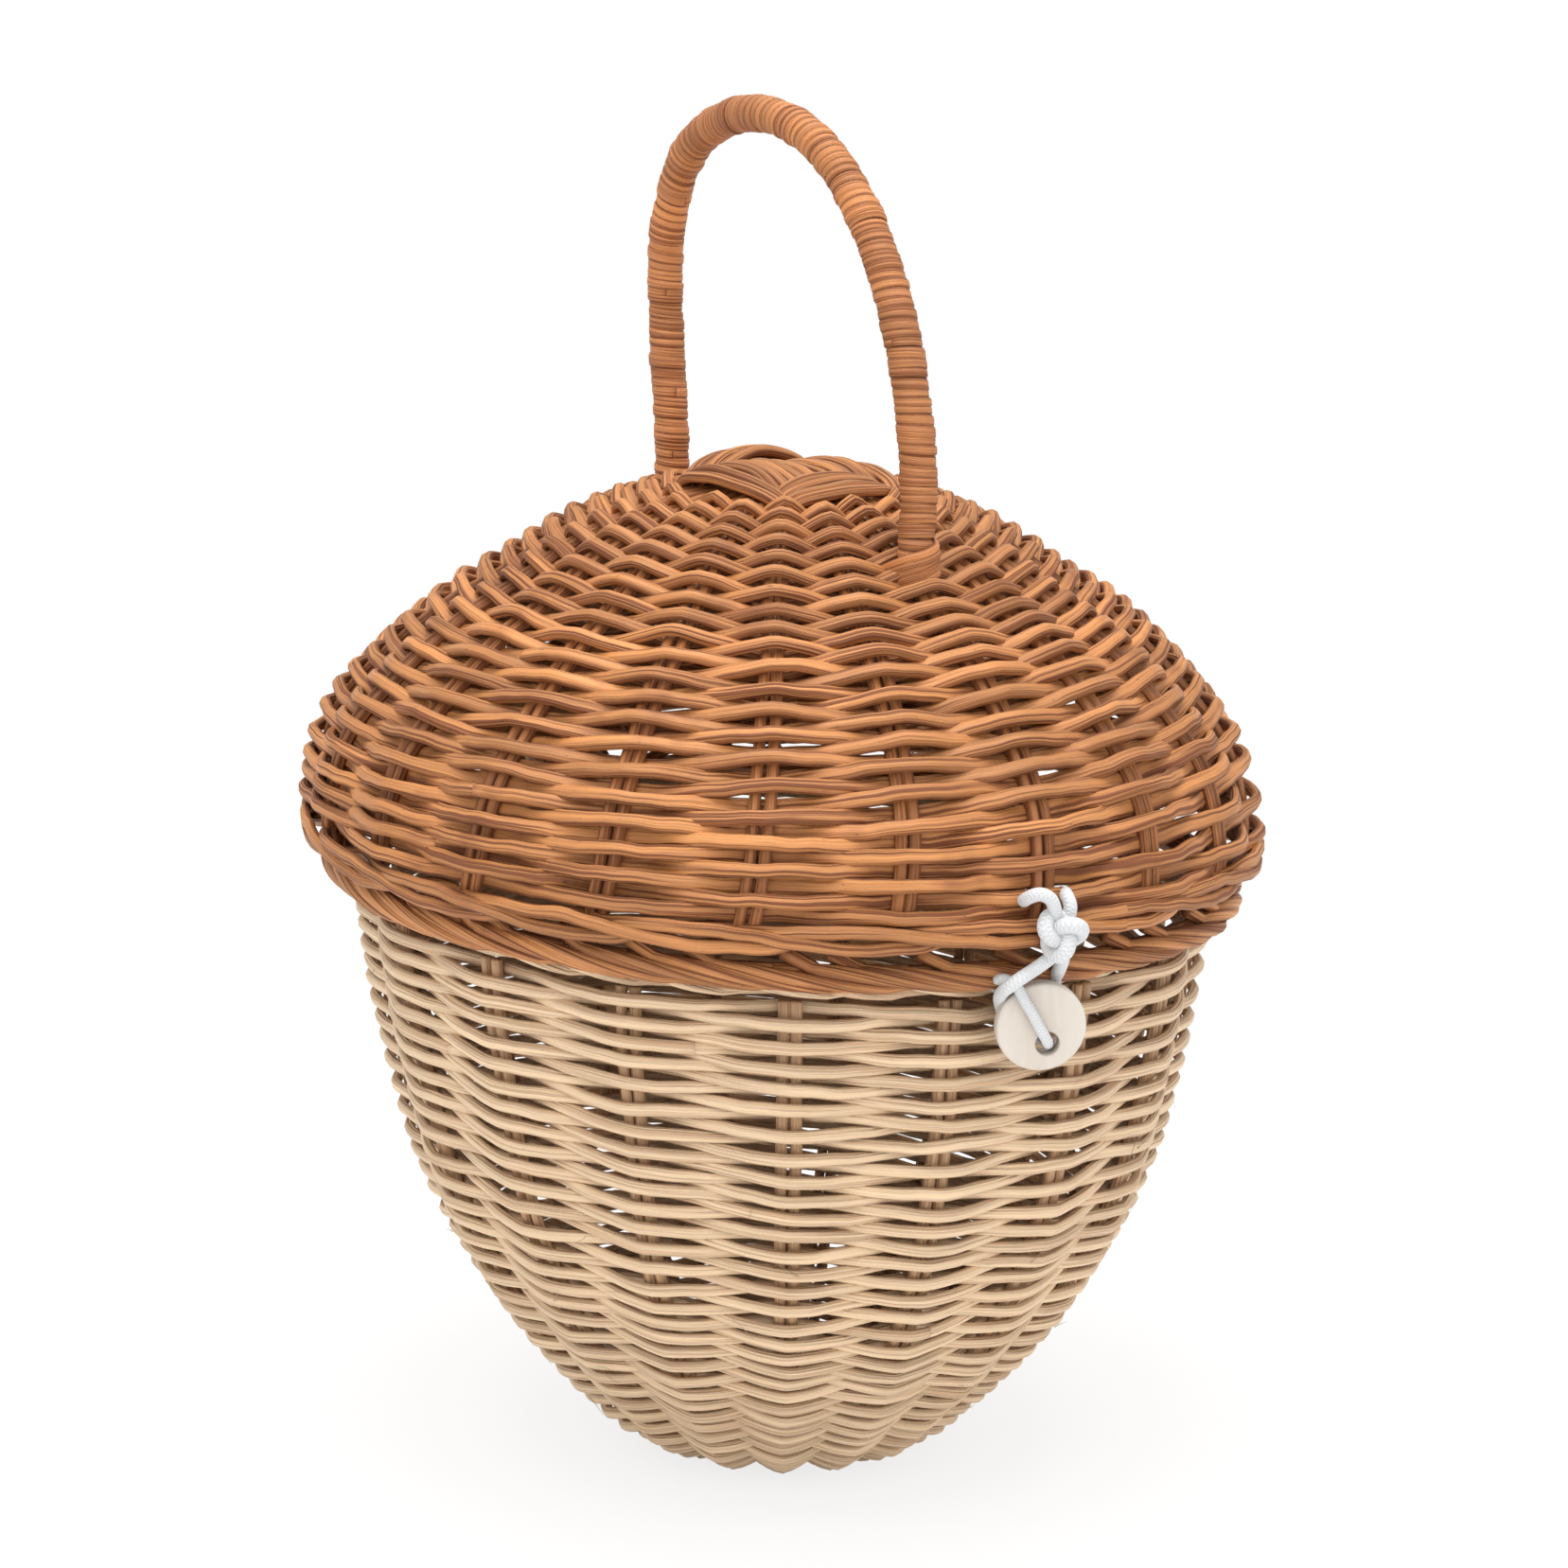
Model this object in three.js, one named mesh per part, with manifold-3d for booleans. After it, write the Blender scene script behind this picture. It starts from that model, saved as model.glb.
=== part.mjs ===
// Lidded basket woven from rattan, in millimetres, +Z up, standing on z = 0.
// The clasp is at the front, towards -Y, and the lid's hinge ties are at the back, towards +Y.
// Each woven wall is a ring of stakes with weavers that wind round it in a rising spiral, over one
// stake and under the next. An odd number of stakes makes every turn cross the one below it.

import * as THREE from 'three';
import { mergeVertices } from 'three/addons/utils/BufferGeometryUtils.js';
import Module from 'manifold-3d';

const wasm = await Module();
wasm.setup();

// Overall sizes
const body_height = 129.7;
const body_radius = 89.6;
const base_radius = 37.2;
const base_edge_height = 11;
const base_flat_radius = 27;
const base_thickness = 8.5;
const lid_height = 74.5;
const lid_bulge = 4.25;
const crown_radius = 62;
const crown_thickness = 8.5;
const crown_rise = 20.5;
const crown_edge_share = 0.86;
const crown_fullness = 2.3;

// Cane sizes
const stake_width = 5.2;
const stake_thickness = 2.2;
const stake_foot_width = 3.2;
const weaver_thickness = 2.2;
const body_weaver_height = 4.3;
const body_row_pitch = 4.8;
const lid_weaver_height = 5;
const lid_row_pitch = 5.5;
const outside_pass = 3.3;
const inside_pass = 2.95;
const body_border_radius = 3;
const body_border_overhang = 0.9;
const lid_border_radius = 3.2;
const lid_seat_angle = THREE.MathUtils.degToRad(24.8);
const lid_stake_landing = THREE.MathUtils.degToRad(48);

// Crown: four flat bundles of canes that cross, with a close weave round them
const crown_weave_depth = 3.4;
const crown_dish_radius = 27;
const crown_dish_edge = 1;
const crown_dish_depth = 3.4;
const bundle_width = 15;
const bundle_spacing = 18.4;
const bundle_length = 46;
const bundle_lift = 2;
const bundle_rise = 2.8;
const bundle_depth = 3.2;
const bundle_edge_round = 1.1;
const bundle_turn = THREE.MathUtils.degToRad(12);
const bundle_centre_side = 1.3;
const bundle_centre_front = 2.6;

// Clearances between pieces that touch on the real basket
const seat_gap = 0.3;
const joint_gap = 0.4;
const row_gap_at_seam = 1;
const merge_tolerance = 0.001;
const border_seat_gap = 0.3;
const body_rim_opening = 3;
const lid_rim_opening = 2.8;
const base_row_offset = 3.1;
const crown_row_offset = 3.4;

// Counts
const body_stake_count = 17;
const lid_stake_count = 21;
const body_weaver_count = 5;
const lid_weaver_count = 3;
const stake_steps = 9;
const ring_steps = 36;
const border_sides = 7;

// Handle
const handle_front_inset = 9.5;
const handle_back_inset = 16;
const handle_height = 84.5;
const handle_core_diameter = 5.6;
const handle_wrap_thickness = 1.1;
const handle_wrap_pitch = 5.2;
const handle_groove = 0.35;
const handle_tail_length = 13;
const handle_tail_bend = 6;
const handle_wrap_clearance = 0.35;
const handle_hole_clearance = 0.7;

// Clasp
const button_diameter = 19;
const button_thickness = 3.4;
const button_edge_round = 0.9;
const button_hole_diameter = 5;
const button_hole_side = 1.6;
const button_hole_drop = 4;
const button_lean = THREE.MathUtils.degToRad(18);
const button_standoff = 6.8;
const button_drop = 13.5;
const elastic_diameter = 2.8;
const button_cord_diameter = 2.2;
const knot_width = 10;
const knot_depth = 8.4;
const knot_height = 12;
const stopper_knot_diameter = 5.4;

// Hinge ties
const tie_offset = 7.3;
const tie_width = 4.4;
const tie_thickness = 1.2;
const tie_lid_slack = 1.15;
const tie_body_slack = 0.9;

// Walls along the middle of the stakes. The first number of each pair is a share of the way from
// the base's or the crown's radius to the wall's largest radius. The second is a share of the way
// from the base's edge to the border on the body, and of the height above the border on the lid.
const body_wall_shares = [
  [0.0766, 0.0416],
  [0.2904, 0.1369],
  [0.5657, 0.2979],
  [0.788, 0.4983],
  [0.9042, 0.7021],
  [0.9829, 0.9058],
  [1, 1],
];
const lid_wall_shares = [
  [0.2865, 0.77],
  [0.6094, 0.612],
  [0.8646, 0.446],
  [0.9714, 0.284],
  [1, 0.136],
];

// Handle arch seen from the side, as shares of the half span and of the handle's height
const handle_arch_shares = [
  [-0.985, 0.14],
  [-0.93, 0.3],
  [-0.83, 0.54],
  [-0.64, 0.77],
  [-0.36, 0.93],
  [-0.02, 1],
  [0.4, 0.985],
  [0.78, 0.88],
  [0.99, 0.67],
  [1.02, 0.42],
  [1, 0.14],
];

// Materials
const natural_cane = new THREE.MeshStandardMaterial({ color: 0xdcbc94, roughness: 0.62, metalness: 0 });
const brown_cane = new THREE.MeshStandardMaterial({ color: 0xbd7c45, roughness: 0.55, metalness: 0 });
const handle_cane = new THREE.MeshStandardMaterial({ color: 0xc8874f, roughness: 0.5, metalness: 0 });
const white_elastic = new THREE.MeshStandardMaterial({ color: 0xebeef0, roughness: 0.8, metalness: 0 });
const pale_wood = new THREE.MeshStandardMaterial({ color: 0xdfd5c7, roughness: 0.6, metalness: 0 });

// A point at a radius and height, turned to an azimuth
function around(radius, height, azimuth) {
  return new THREE.Vector3(radius * Math.cos(azimuth), radius * Math.sin(azimuth), height);
}

// One closed body through a row of rings that all have the same number of points
function skin(rings, closed = false) {
  const sides = rings[0].length;
  const positions = [];
  const indices = [];
  rings.forEach((ring) => ring.forEach((point) => positions.push(point.x, point.y, point.z)));
  const spans = closed ? rings.length : rings.length - 1;
  for (let i = 0; i < spans; i += 1) {
    const here = i * sides;
    const next = ((i + 1) % rings.length) * sides;
    for (let j = 0; j < sides; j += 1) {
      const k = (j + 1) % sides;
      indices.push(here + j, here + k, next + k, here + j, next + k, next + j);
    }
  }
  if (!closed) {
    const last = (rings.length - 1) * sides;
    for (let j = 1; j < sides - 1; j += 1) {
      indices.push(0, j + 1, j);
      indices.push(last, last + j, last + j + 1);
    }
  }
  return facingOut(positions, indices);
}

// Turns a closed body's faces outwards, whichever way its rings ran
function facingOut(positions, indices) {
  const a = new THREE.Vector3();
  const b = new THREE.Vector3();
  const c = new THREE.Vector3();
  let volume = 0;
  for (let i = 0; i < indices.length; i += 3) {
    a.fromArray(positions, indices[i] * 3);
    b.fromArray(positions, indices[i + 1] * 3);
    c.fromArray(positions, indices[i + 2] * 3);
    volume += a.dot(b.cross(c));
  }
  const geometry = new THREE.BufferGeometry();
  geometry.setAttribute('position', new THREE.Float32BufferAttribute(positions, 3));
  geometry.setIndex(volume < 0 ? indices.slice().reverse() : indices);
  return geometry;
}

// A round cord or rod along a smooth curve
function cordAlong(curve, diameter, steps, sides, closed = false) {
  const frames = curve.computeFrenetFrames(steps, closed);
  const rings = [];
  const count = closed ? steps : steps + 1;
  for (let i = 0; i < count; i += 1) {
    const centre = curve.getPointAt(i / steps);
    const ring = [];
    for (let j = 0; j < sides; j += 1) {
      const angle = (j / sides) * Math.PI * 2;
      ring.push(centre.clone()
        .addScaledVector(frames.normals[i], Math.cos(angle) * diameter / 2)
        .addScaledVector(frames.binormals[i], Math.sin(angle) * diameter / 2));
    }
    rings.push(ring);
  }
  return skin(rings, closed);
}

// A revolved body whose outline closes on itself or on the axis
function revolved(outline, steps) {
  const points = outline.map(([radius, height]) => new THREE.Vector2(radius, height));
  const lathe = new THREE.LatheGeometry(points, steps);
  lathe.rotateX(Math.PI / 2);
  return closedBody(lathe);
}

function closedBody(geometry) {
  const plain = positionsOnly(geometry);
  return facingOut(Array.from(plain.getAttribute('position').array), Array.from(plain.getIndex().array));
}

function positionsOnly(geometry) {
  const plain = geometry.clone();
  Object.keys(plain.attributes)
    .filter((name) => name !== 'position')
    .forEach((name) => plain.deleteAttribute(name));
  return withoutSlivers(mergeVertices(plain, merge_tolerance));
}

// Leaves out the triangles that lost an edge when their corners merged
function withoutSlivers(geometry) {
  const index = geometry.getIndex().array;
  const kept = [];
  for (let i = 0; i < index.length; i += 3) {
    const [a, b, c] = [index[i], index[i + 1], index[i + 2]];
    if (a !== b && b !== c && c !== a) {
      kept.push(a, b, c);
    }
  }
  geometry.setIndex(kept);
  return geometry;
}

function toSolid(geometry) {
  const plain = positionsOnly(geometry);
  return new wasm.Manifold(new wasm.Mesh({
    numProp: 3,
    vertProperties: new Float32Array(plain.getAttribute('position').array),
    triVerts: new Uint32Array(plain.getIndex().array),
  }));
}

function fromSolid(solid) {
  const mesh = solid.getMesh();
  const geometry = new THREE.BufferGeometry();
  geometry.setAttribute('position', new THREE.Float32BufferAttribute(Array.from(mesh.vertProperties), 3));
  geometry.setIndex(Array.from(mesh.triVerts));
  return geometry;
}

const basket = new THREE.Group();
const lid = new THREE.Group();
basket.add(lid);

function addPiece(group, name, geometry, material) {
  const mesh = new THREE.Mesh(geometry, material);
  mesh.name = name;
  group.add(mesh);
  return mesh;
}

// Where the two borders meet: the lid's border sits on the outer shoulder of the body's border
const border_distance = body_border_radius + lid_border_radius + border_seat_gap;
const body_border_ring_radius = body_radius + body_border_overhang;
const lid_border_ring_radius = body_border_ring_radius + border_distance * Math.cos(lid_seat_angle);
const lid_border_height = body_height + border_distance * Math.sin(lid_seat_angle);
const lid_radius = lid_border_ring_radius + lid_bulge;
const handle_front_foot = crown_radius - handle_front_inset;
const handle_back_foot = crown_radius - handle_back_inset;

// A wall's middle line in its radial plane, with the directions along it and out of it
function wallLine(points) {
  const curve = new THREE.SplineCurve(points.map(([radius, height]) => new THREE.Vector2(radius, height)));
  curve.arcLengthDivisions = 400;
  const length = curve.getLength();
  function at(distance) {
    const share = THREE.MathUtils.clamp(distance / length, 0, 1);
    const centre = curve.getPointAt(share);
    const along = curve.getTangentAt(share);
    const out = new THREE.Vector2(along.y, -along.x);
    return { centre, along, out };
  }
  function distanceAtHeight(height) {
    let low = 0;
    let high = length;
    const rising = at(length).centre.y > at(0).centre.y;
    for (let i = 0; i < 40; i += 1) {
      const middle = (low + high) / 2;
      const above = at(middle).centre.y > height;
      if (above === rising) {
        high = middle;
      } else {
        low = middle;
      }
    }
    return (low + high) / 2;
  }
  return { length, at, distanceAtHeight };
}

// A point beside the wall line: pushed out of the wall, moved along it, at an azimuth
function besideWall(place, out_offset, along_offset, azimuth, outward) {
  const radius = place.centre.x + place.out.x * out_offset * outward + place.along.x * along_offset;
  const height = place.centre.y + place.out.y * out_offset * outward + place.along.y * along_offset;
  return around(radius, height, azimuth);
}

// A stake: two canes side by side, flat in the middle and thinner at its edges
function stakeGeometry(wall, azimuth, outward, start, end, foot_distance) {
  const sideways = new THREE.Vector3(-Math.sin(azimuth), Math.cos(azimuth), 0);
  const rings = [];
  for (let i = 0; i <= stake_steps; i += 1) {
    const distance = THREE.MathUtils.lerp(start, end, i / stake_steps);
    const place = wall.at(distance);
    const spread = THREE.MathUtils.smoothstep(distance, 0, foot_distance);
    const half_width = THREE.MathUtils.lerp(stake_foot_width, stake_width, spread) / 2;
    const half_flat = half_width / 2;
    const corners = [
      [half_flat, stake_thickness / 2],
      [half_width, 0],
      [half_flat, -stake_thickness / 2],
      [-half_flat, -stake_thickness / 2],
      [-half_width, 0],
      [-half_flat, stake_thickness / 2],
    ];
    rings.push(corners.map(([side, depth]) => (
      besideWall(place, depth, 0, azimuth, outward).addScaledVector(sideways, side))));
  }
  return skin(rings);
}

// The weaver's crossings, one at each stake, in the order in which they are woven
function crossings(wall, outward, stake_azimuths, distances) {
  return distances.map((distance, i) => {
    const azimuth = stake_azimuths[i % stake_azimuths.length];
    const push = i % 2 === 0 ? outside_pass : -inside_pass;
    return { place: wall.at(distance), azimuth, push, outward };
  });
}

function weaverRing(crossing, height) {
  const inner = crossing.push - weaver_thickness / 2;
  const outer = crossing.push + weaver_thickness / 2;
  return [[outer, height / 2], [outer, -height / 2], [inner, -height / 2], [inner, height / 2]]
    .map(([push, along]) => besideWall(crossing.place, push, along, crossing.azimuth, crossing.outward));
}

// The ring where a weaver ends, just short of halfway to the crossing where the next one begins
function nearlyHalfway(from, to) {
  const span = from[0].distanceTo(to[0]);
  return from.map((point, i) => point.clone().lerp(to[i], 1 / 2 - joint_gap / 2 / span));
}

// Splits one spiral of crossings into weavers that meet end to end halfway between two stakes
function weaverGeometries(spiral, height, count) {
  const rings = spiral.map((crossing) => weaverRing(crossing, height));
  const geometries = [];
  for (let k = 0; k < count; k += 1) {
    const first = Math.round((k * rings.length) / count);
    const last = Math.round(((k + 1) * rings.length) / count) - 1;
    const own = rings.slice(first, last + 1);
    if (first > 0) {
      own.unshift(nearlyHalfway(rings[first], rings[first - 1]));
    }
    if (last < rings.length - 1) {
      own.push(nearlyHalfway(rings[last], rings[last + 1]));
    }
    geometries.push(skin(own));
  }
  return geometries;
}

function numbered(name, index) {
  return `${name}_${String(index + 1).padStart(2, '0')}`;
}

function evenAzimuths(count, first) {
  return Array.from({ length: count }, (_, i) => first + (i / count) * Math.PI * 2);
}

const front = -Math.PI / 2;
const back = Math.PI / 2;

// Body wall: the stakes stand between the base and the border
const body_wall_top = body_height - body_border_radius - seat_gap;
const body_wall_points = [[base_radius, base_edge_height]]
  .concat(body_wall_shares.map(([radius, height]) => [
    THREE.MathUtils.lerp(base_radius, body_radius, radius),
    THREE.MathUtils.lerp(base_edge_height, body_wall_top, height),
  ]));
const body_wall = wallLine(body_wall_points);
const body_stakes = evenAzimuths(body_stake_count, back);

function buildBodyStakes() {
  body_stakes.forEach((azimuth, i) => {
    const geometry = stakeGeometry(body_wall, azimuth, 1, seat_gap, body_wall.length, base_radius);
    addPiece(basket, numbered('body_stake', i), geometry, natural_cane);
  });
}

function buildBodyWeavers() {
  const top = body_height - body_border_radius - body_rim_opening - body_weaver_height / 2;
  const last = body_wall.distanceAtHeight(top);
  const step = body_row_pitch / body_stake_count;
  const count = Math.floor((last - base_row_offset) / step) + 1;
  const distances = Array.from({ length: count }, (_, i) => last - (count - 1 - i) * step);
  const spiral = crossings(body_wall, 1, body_stakes, distances);
  weaverGeometries(spiral, body_weaver_height, body_weaver_count).forEach((geometry, i) => {
    addPiece(basket, numbered('body_weaver', i), geometry, natural_cane);
  });
}

// A rolled border of canes turned along the rim
function borderGeometry(ring_radius, height, tube_radius) {
  const outline = Array.from({ length: border_sides + 1 }, (_, i) => {
    const angle = (i / border_sides) * Math.PI * 2;
    return [ring_radius + tube_radius * Math.cos(angle), height + tube_radius * Math.sin(angle)];
  });
  return revolved(outline, ring_steps);
}

// Base: a shallow dish of crossed canes with a flat underside, its edge square to the wall
function buildBase() {
  const edge = body_wall.at(0);
  const reach = base_thickness / 2;
  const low = [edge.centre.x + edge.out.x * reach, edge.centre.y + edge.out.y * reach];
  const high = [edge.centre.x - edge.out.x * reach, edge.centre.y - edge.out.y * reach];
  const outline = [
    [0, 0],
    [base_flat_radius, 0],
    [THREE.MathUtils.lerp(base_flat_radius, low[0], 1 / 2), low[1] * 2 / 5],
    low,
    high,
    [high[0] * 5 / 6, THREE.MathUtils.lerp(base_thickness, high[1], 1 / 3)],
    [high[0] * 2 / 3, base_thickness],
    [0, base_thickness],
  ];
  addPiece(basket, 'base', revolved(outline, ring_steps), natural_cane);
}

// Lid wall: from the crown's edge down to the lid's border
const lid_stake_reach = lid_border_radius + seat_gap + stake_thickness / 3;
const lid_wall_points = [[crown_radius, lid_border_height + lid_height * crown_edge_share]]
  .concat(lid_wall_shares.map(([radius, height]) => [
    THREE.MathUtils.lerp(crown_radius, lid_radius, radius),
    lid_border_height + height * lid_height,
  ]))
  .concat([[
    lid_border_ring_radius + lid_stake_reach * Math.cos(lid_stake_landing),
    lid_border_height + lid_stake_reach * Math.sin(lid_stake_landing),
  ]]);
const lid_wall = wallLine(lid_wall_points);
const lid_stakes = evenAzimuths(lid_stake_count, front);

function buildLidStakes() {
  lid_stakes.forEach((azimuth, i) => {
    const geometry = stakeGeometry(lid_wall, azimuth, -1, seat_gap, lid_wall.length, seat_gap);
    addPiece(lid, numbered('lid_stake', i), geometry, brown_cane);
  });
}

// The lid's lowest weaver lies level above the border, and the spiral starts over it at the back
function buildLidWeavers() {
  const level_height = lid_border_height + lid_border_radius + lid_rim_opening + lid_weaver_height / 2;
  const level = lid_wall.distanceAtHeight(level_height);
  const seam = Math.floor(lid_stake_count / 2) + 1;
  const from_seam = lid_stakes.slice(seam).concat(lid_stakes.slice(0, seam));
  const rim = crossings(lid_wall, -1, from_seam, from_seam.map(() => level));
  const rim_rings = rim.map((crossing) => weaverRing(crossing, lid_weaver_height));
  const [start, end] = [rim_rings[0], rim_rings[rim_rings.length - 1]];
  const closed_round = [nearlyHalfway(start, end), ...rim_rings, nearlyHalfway(end, start)];
  addPiece(lid, 'lid_rim_weaver', skin(closed_round), brown_cane);
  const first = level - lid_weaver_height - row_gap_at_seam;
  const step = lid_row_pitch / lid_stake_count;
  const count = Math.floor((first - crown_row_offset) / step) + 1;
  const distances = Array.from({ length: count }, (_, i) => first - i * step);
  const spiral = crossings(lid_wall, -1, from_seam, distances);
  weaverGeometries(spiral, lid_weaver_height, lid_weaver_count).forEach((geometry, i) => {
    addPiece(lid, numbered('lid_weaver', i), geometry, brown_cane);
  });
}

// Crown: the crossed stakes and the close weave round them, one domed piece with two handle holes
function crownSurface(radius) {
  const edge = lid_wall.at(0);
  const share = radius / edge.centre.x;
  return edge.centre.y + crown_rise * (1 - share ** crown_fullness);
}

// A round of the crown at a radius, at a height over its middle surface that may change from stake to stake
function crownRing(radius, liftAt) {
  const columns = lid_stake_count * 2;
  return Array.from({ length: columns }, (_, i) => {
    const azimuth = front + (i / columns) * Math.PI * 2;
    return around(radius, crownSurface(radius) + liftAt(i), azimuth);
  });
}

// The weave's lift over and under the stakes, halfway between two stakes level with the middle of both
function weaveLift(row) {
  const seam = Math.floor(lid_stake_count / 2) + 1;
  const atStake = (stake) => {
    const from_seam = (stake - seam + lid_stake_count * 2) % lid_stake_count;
    return crown_thickness / 2 - ((from_seam + row) % 2) * crown_weave_depth;
  };
  return (column) => {
    const before = Math.floor(column / 2);
    const after = Math.ceil(column / 2) % lid_stake_count;
    return (atStake(before) + atStake(after)) / 2;
  };
}

function edgeRing([radius, height]) {
  return crownRing(radius, () => height - crownSurface(radius));
}

function crownShell() {
  const edge = lid_wall.at(0);
  const reach = crown_thickness / 2;
  const outer_edge = [edge.centre.x - edge.out.x * reach, edge.centre.y - edge.out.y * reach];
  const inner_edge = [edge.centre.x + edge.out.x * reach, edge.centre.y + edge.out.y * reach];
  const middle_radius = crown_dish_radius / 6;
  const rings = [edgeRing(outer_edge)];
  const row_count = Math.floor((outer_edge[0] - crown_dish_radius) / lid_row_pitch);
  const between_rows = () => reach - crown_weave_depth / 2;
  for (let row = 0; row < row_count; row += 1) {
    rings.unshift(crownRing(outer_edge[0] - lid_row_pitch * (row + 3 / 4), weaveLift(row)));
    rings.unshift(crownRing(outer_edge[0] - lid_row_pitch * (row + 5 / 4), between_rows));
  }
  const dish = () => reach - crown_dish_depth;
  rings.unshift(crownRing(crown_dish_radius - crown_dish_edge, dish));
  rings.unshift(crownRing(crown_dish_radius / 2, dish));
  rings.unshift(crownRing(middle_radius, dish));
  rings.push(edgeRing(inner_edge));
  for (let i = 5; i > 0; i -= 2) {
    rings.push(crownRing((inner_edge[0] * i) / 7, () => -reach));
  }
  rings.push(crownRing(middle_radius, () => -reach));
  return skin(rings);
}

// One bundle of the crown: it rises over one of the two bundles that it crosses and dives under the other
function bundleGeometry(across, side) {
  const steps = 12;
  const middle = (side * bundle_spacing) / 2;
  const over = across ? -side : side;
  const half_width = bundle_width / 2;
  const rings = [];
  for (let i = 0; i <= steps; i += 1) {
    const along = THREE.MathUtils.lerp(-bundle_length / 2, bundle_length / 2, i / steps);
    const lift = bundle_lift + over * bundle_rise * Math.sin((along / bundle_spacing) * Math.PI);
    const corners = [
      [-half_width, lift - bundle_depth],
      [-half_width, lift - bundle_edge_round],
      [bundle_edge_round - half_width, lift],
      [half_width - bundle_edge_round, lift],
      [half_width, lift - bundle_edge_round],
      [half_width, lift - bundle_depth],
    ];
    rings.push(corners.map(([aside, height]) => {
      const spot = across
        ? new THREE.Vector2(middle + aside, along)
        : new THREE.Vector2(along, middle + aside);
      spot.rotateAround(new THREE.Vector2(), bundle_turn);
      spot.add(new THREE.Vector2(bundle_centre_side, -bundle_centre_front));
      return new THREE.Vector3(spot.x, spot.y, crownSurface(spot.length()) + height);
    }));
  }
  return skin(rings);
}

function buildCrown() {
  let solid = toSolid(crownShell());
  [false, true].forEach((across) => [-1, 1].forEach((side) => {
    solid = solid.add(toSolid(bundleGeometry(across, side)));
  }));
  [-handle_front_foot, handle_back_foot].forEach((foot) => {
    const hole_radius = handle_core_diameter / 2 + handle_hole_clearance;
    const drill = new THREE.CylinderGeometry(hole_radius, hole_radius, crown_thickness * 6, 10);
    drill.rotateX(Math.PI / 2);
    drill.translate(0, foot, crownSurface(Math.abs(foot)));
    solid = solid.subtract(toSolid(drill));
  });
  addPiece(lid, 'lid_crown', fromSolid(solid), brown_cane);
}

// Handle: a cane core that passes through the crown and turns in under it, wrapped in split cane
function handlePoint(share, rise) {
  const foot = share < 0 ? handle_front_foot : handle_back_foot;
  const top = crownSurface(handle_back_foot) + crown_thickness / 2;
  return new THREE.Vector3(0, share * foot, top + rise * handle_height);
}

function handleFoot(side) {
  const foot = side < 0 ? handle_front_foot : handle_back_foot;
  const top = crownSurface(foot) + crown_thickness / 2;
  const under = crownSurface(foot) - crown_thickness / 2;
  const uphill = foot - handle_core_diameter / 2 - handle_wrap_clearance - handle_wrap_thickness;
  const wrap_start = crownSurface(uphill) + crown_thickness / 2 + seat_gap * 2;
  return { y: side * foot, top, under, wrap_start };
}

function buildHandle() {
  const arch = handle_arch_shares.map(([share, rise]) => handlePoint(share, rise));
  const ends = [-1, 1].map((side) => handleFoot(side));
  const core_points = [];
  ends.forEach(({ y, top, under }, i) => {
    const inward = -Math.sign(y);
    const tail_height = under - handle_core_diameter - handle_tail_bend;
    const tail = [
      new THREE.Vector3(0, y + inward * handle_tail_length, tail_height - handle_tail_bend / 6),
      new THREE.Vector3(0, y + inward * handle_tail_bend, tail_height),
      new THREE.Vector3(0, y, under - handle_tail_bend / 2),
      new THREE.Vector3(0, y, top),
    ];
    core_points[i] = tail;
  });
  const path = core_points[0].concat(arch, core_points[1].slice().reverse());
  const core_curve = new THREE.CatmullRomCurve3(path, false, 'centripetal');
  addPiece(lid, 'handle_core', cordAlong(core_curve, handle_core_diameter, 48, 7), handle_cane);
  addPiece(lid, 'handle_wrap', wrapGeometry(core_curve, ends), handle_cane);
}

// The wrap lies in one layer of turns: a sleeve with a rib for each turn and a smooth bore
function wrapGeometry(core_curve, ends) {
  const length = core_curve.getLength();
  const start = shareAtHeight(core_curve, ends[0].wrap_start, 0, 1 / 2) * length;
  const end = shareAtHeight(core_curve, ends[1].wrap_start, 1, 1 / 2) * length;
  const turns = Math.round((end - start) / handle_wrap_pitch);
  const sides = 6;
  const bore = (handle_core_diameter / 2 + handle_wrap_clearance) / Math.cos(Math.PI / sides);
  const crest = bore + handle_wrap_thickness;
  const outer = [];
  for (let i = 0; i <= turns * 2; i += 1) {
    const radius = i % 2 === 0 ? crest - handle_groove : crest;
    outer.push({ share: THREE.MathUtils.lerp(start, end, i / turns / 2) / length, radius });
  }
  const bore_steps = turns;
  const inner = [];
  for (let i = bore_steps; i >= 0; i -= 1) {
    inner.push({ share: THREE.MathUtils.lerp(start, end, i / bore_steps) / length, radius: bore });
  }
  const rings = outer.concat(inner).map(({ share, radius }) => {
    const centre = core_curve.getPointAt(share);
    const tangent = core_curve.getTangentAt(share);
    const side = new THREE.Vector3(1, 0, 0);
    const up = tangent.clone().cross(side);
    return Array.from({ length: sides }, (_, j) => {
      const angle = ((j + 1 / 2) / sides) * Math.PI * 2;
      return centre.clone()
        .addScaledVector(side, Math.cos(angle) * radius)
        .addScaledVector(up, Math.sin(angle) * radius);
    });
  });
  return skin(rings, true);
}

// The share of a curve's length at which it reaches a height, between two shares of which the first is lower
function shareAtHeight(curve, height, low_share, high_share) {
  let low = low_share;
  let high = high_share;
  for (let i = 0; i < 40; i += 1) {
    const middle = (low + high) / 2;
    if (curve.getPointAt(middle).z > height) {
      high = middle;
    } else {
      low = middle;
    }
  }
  return (low + high) / 2;
}

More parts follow.
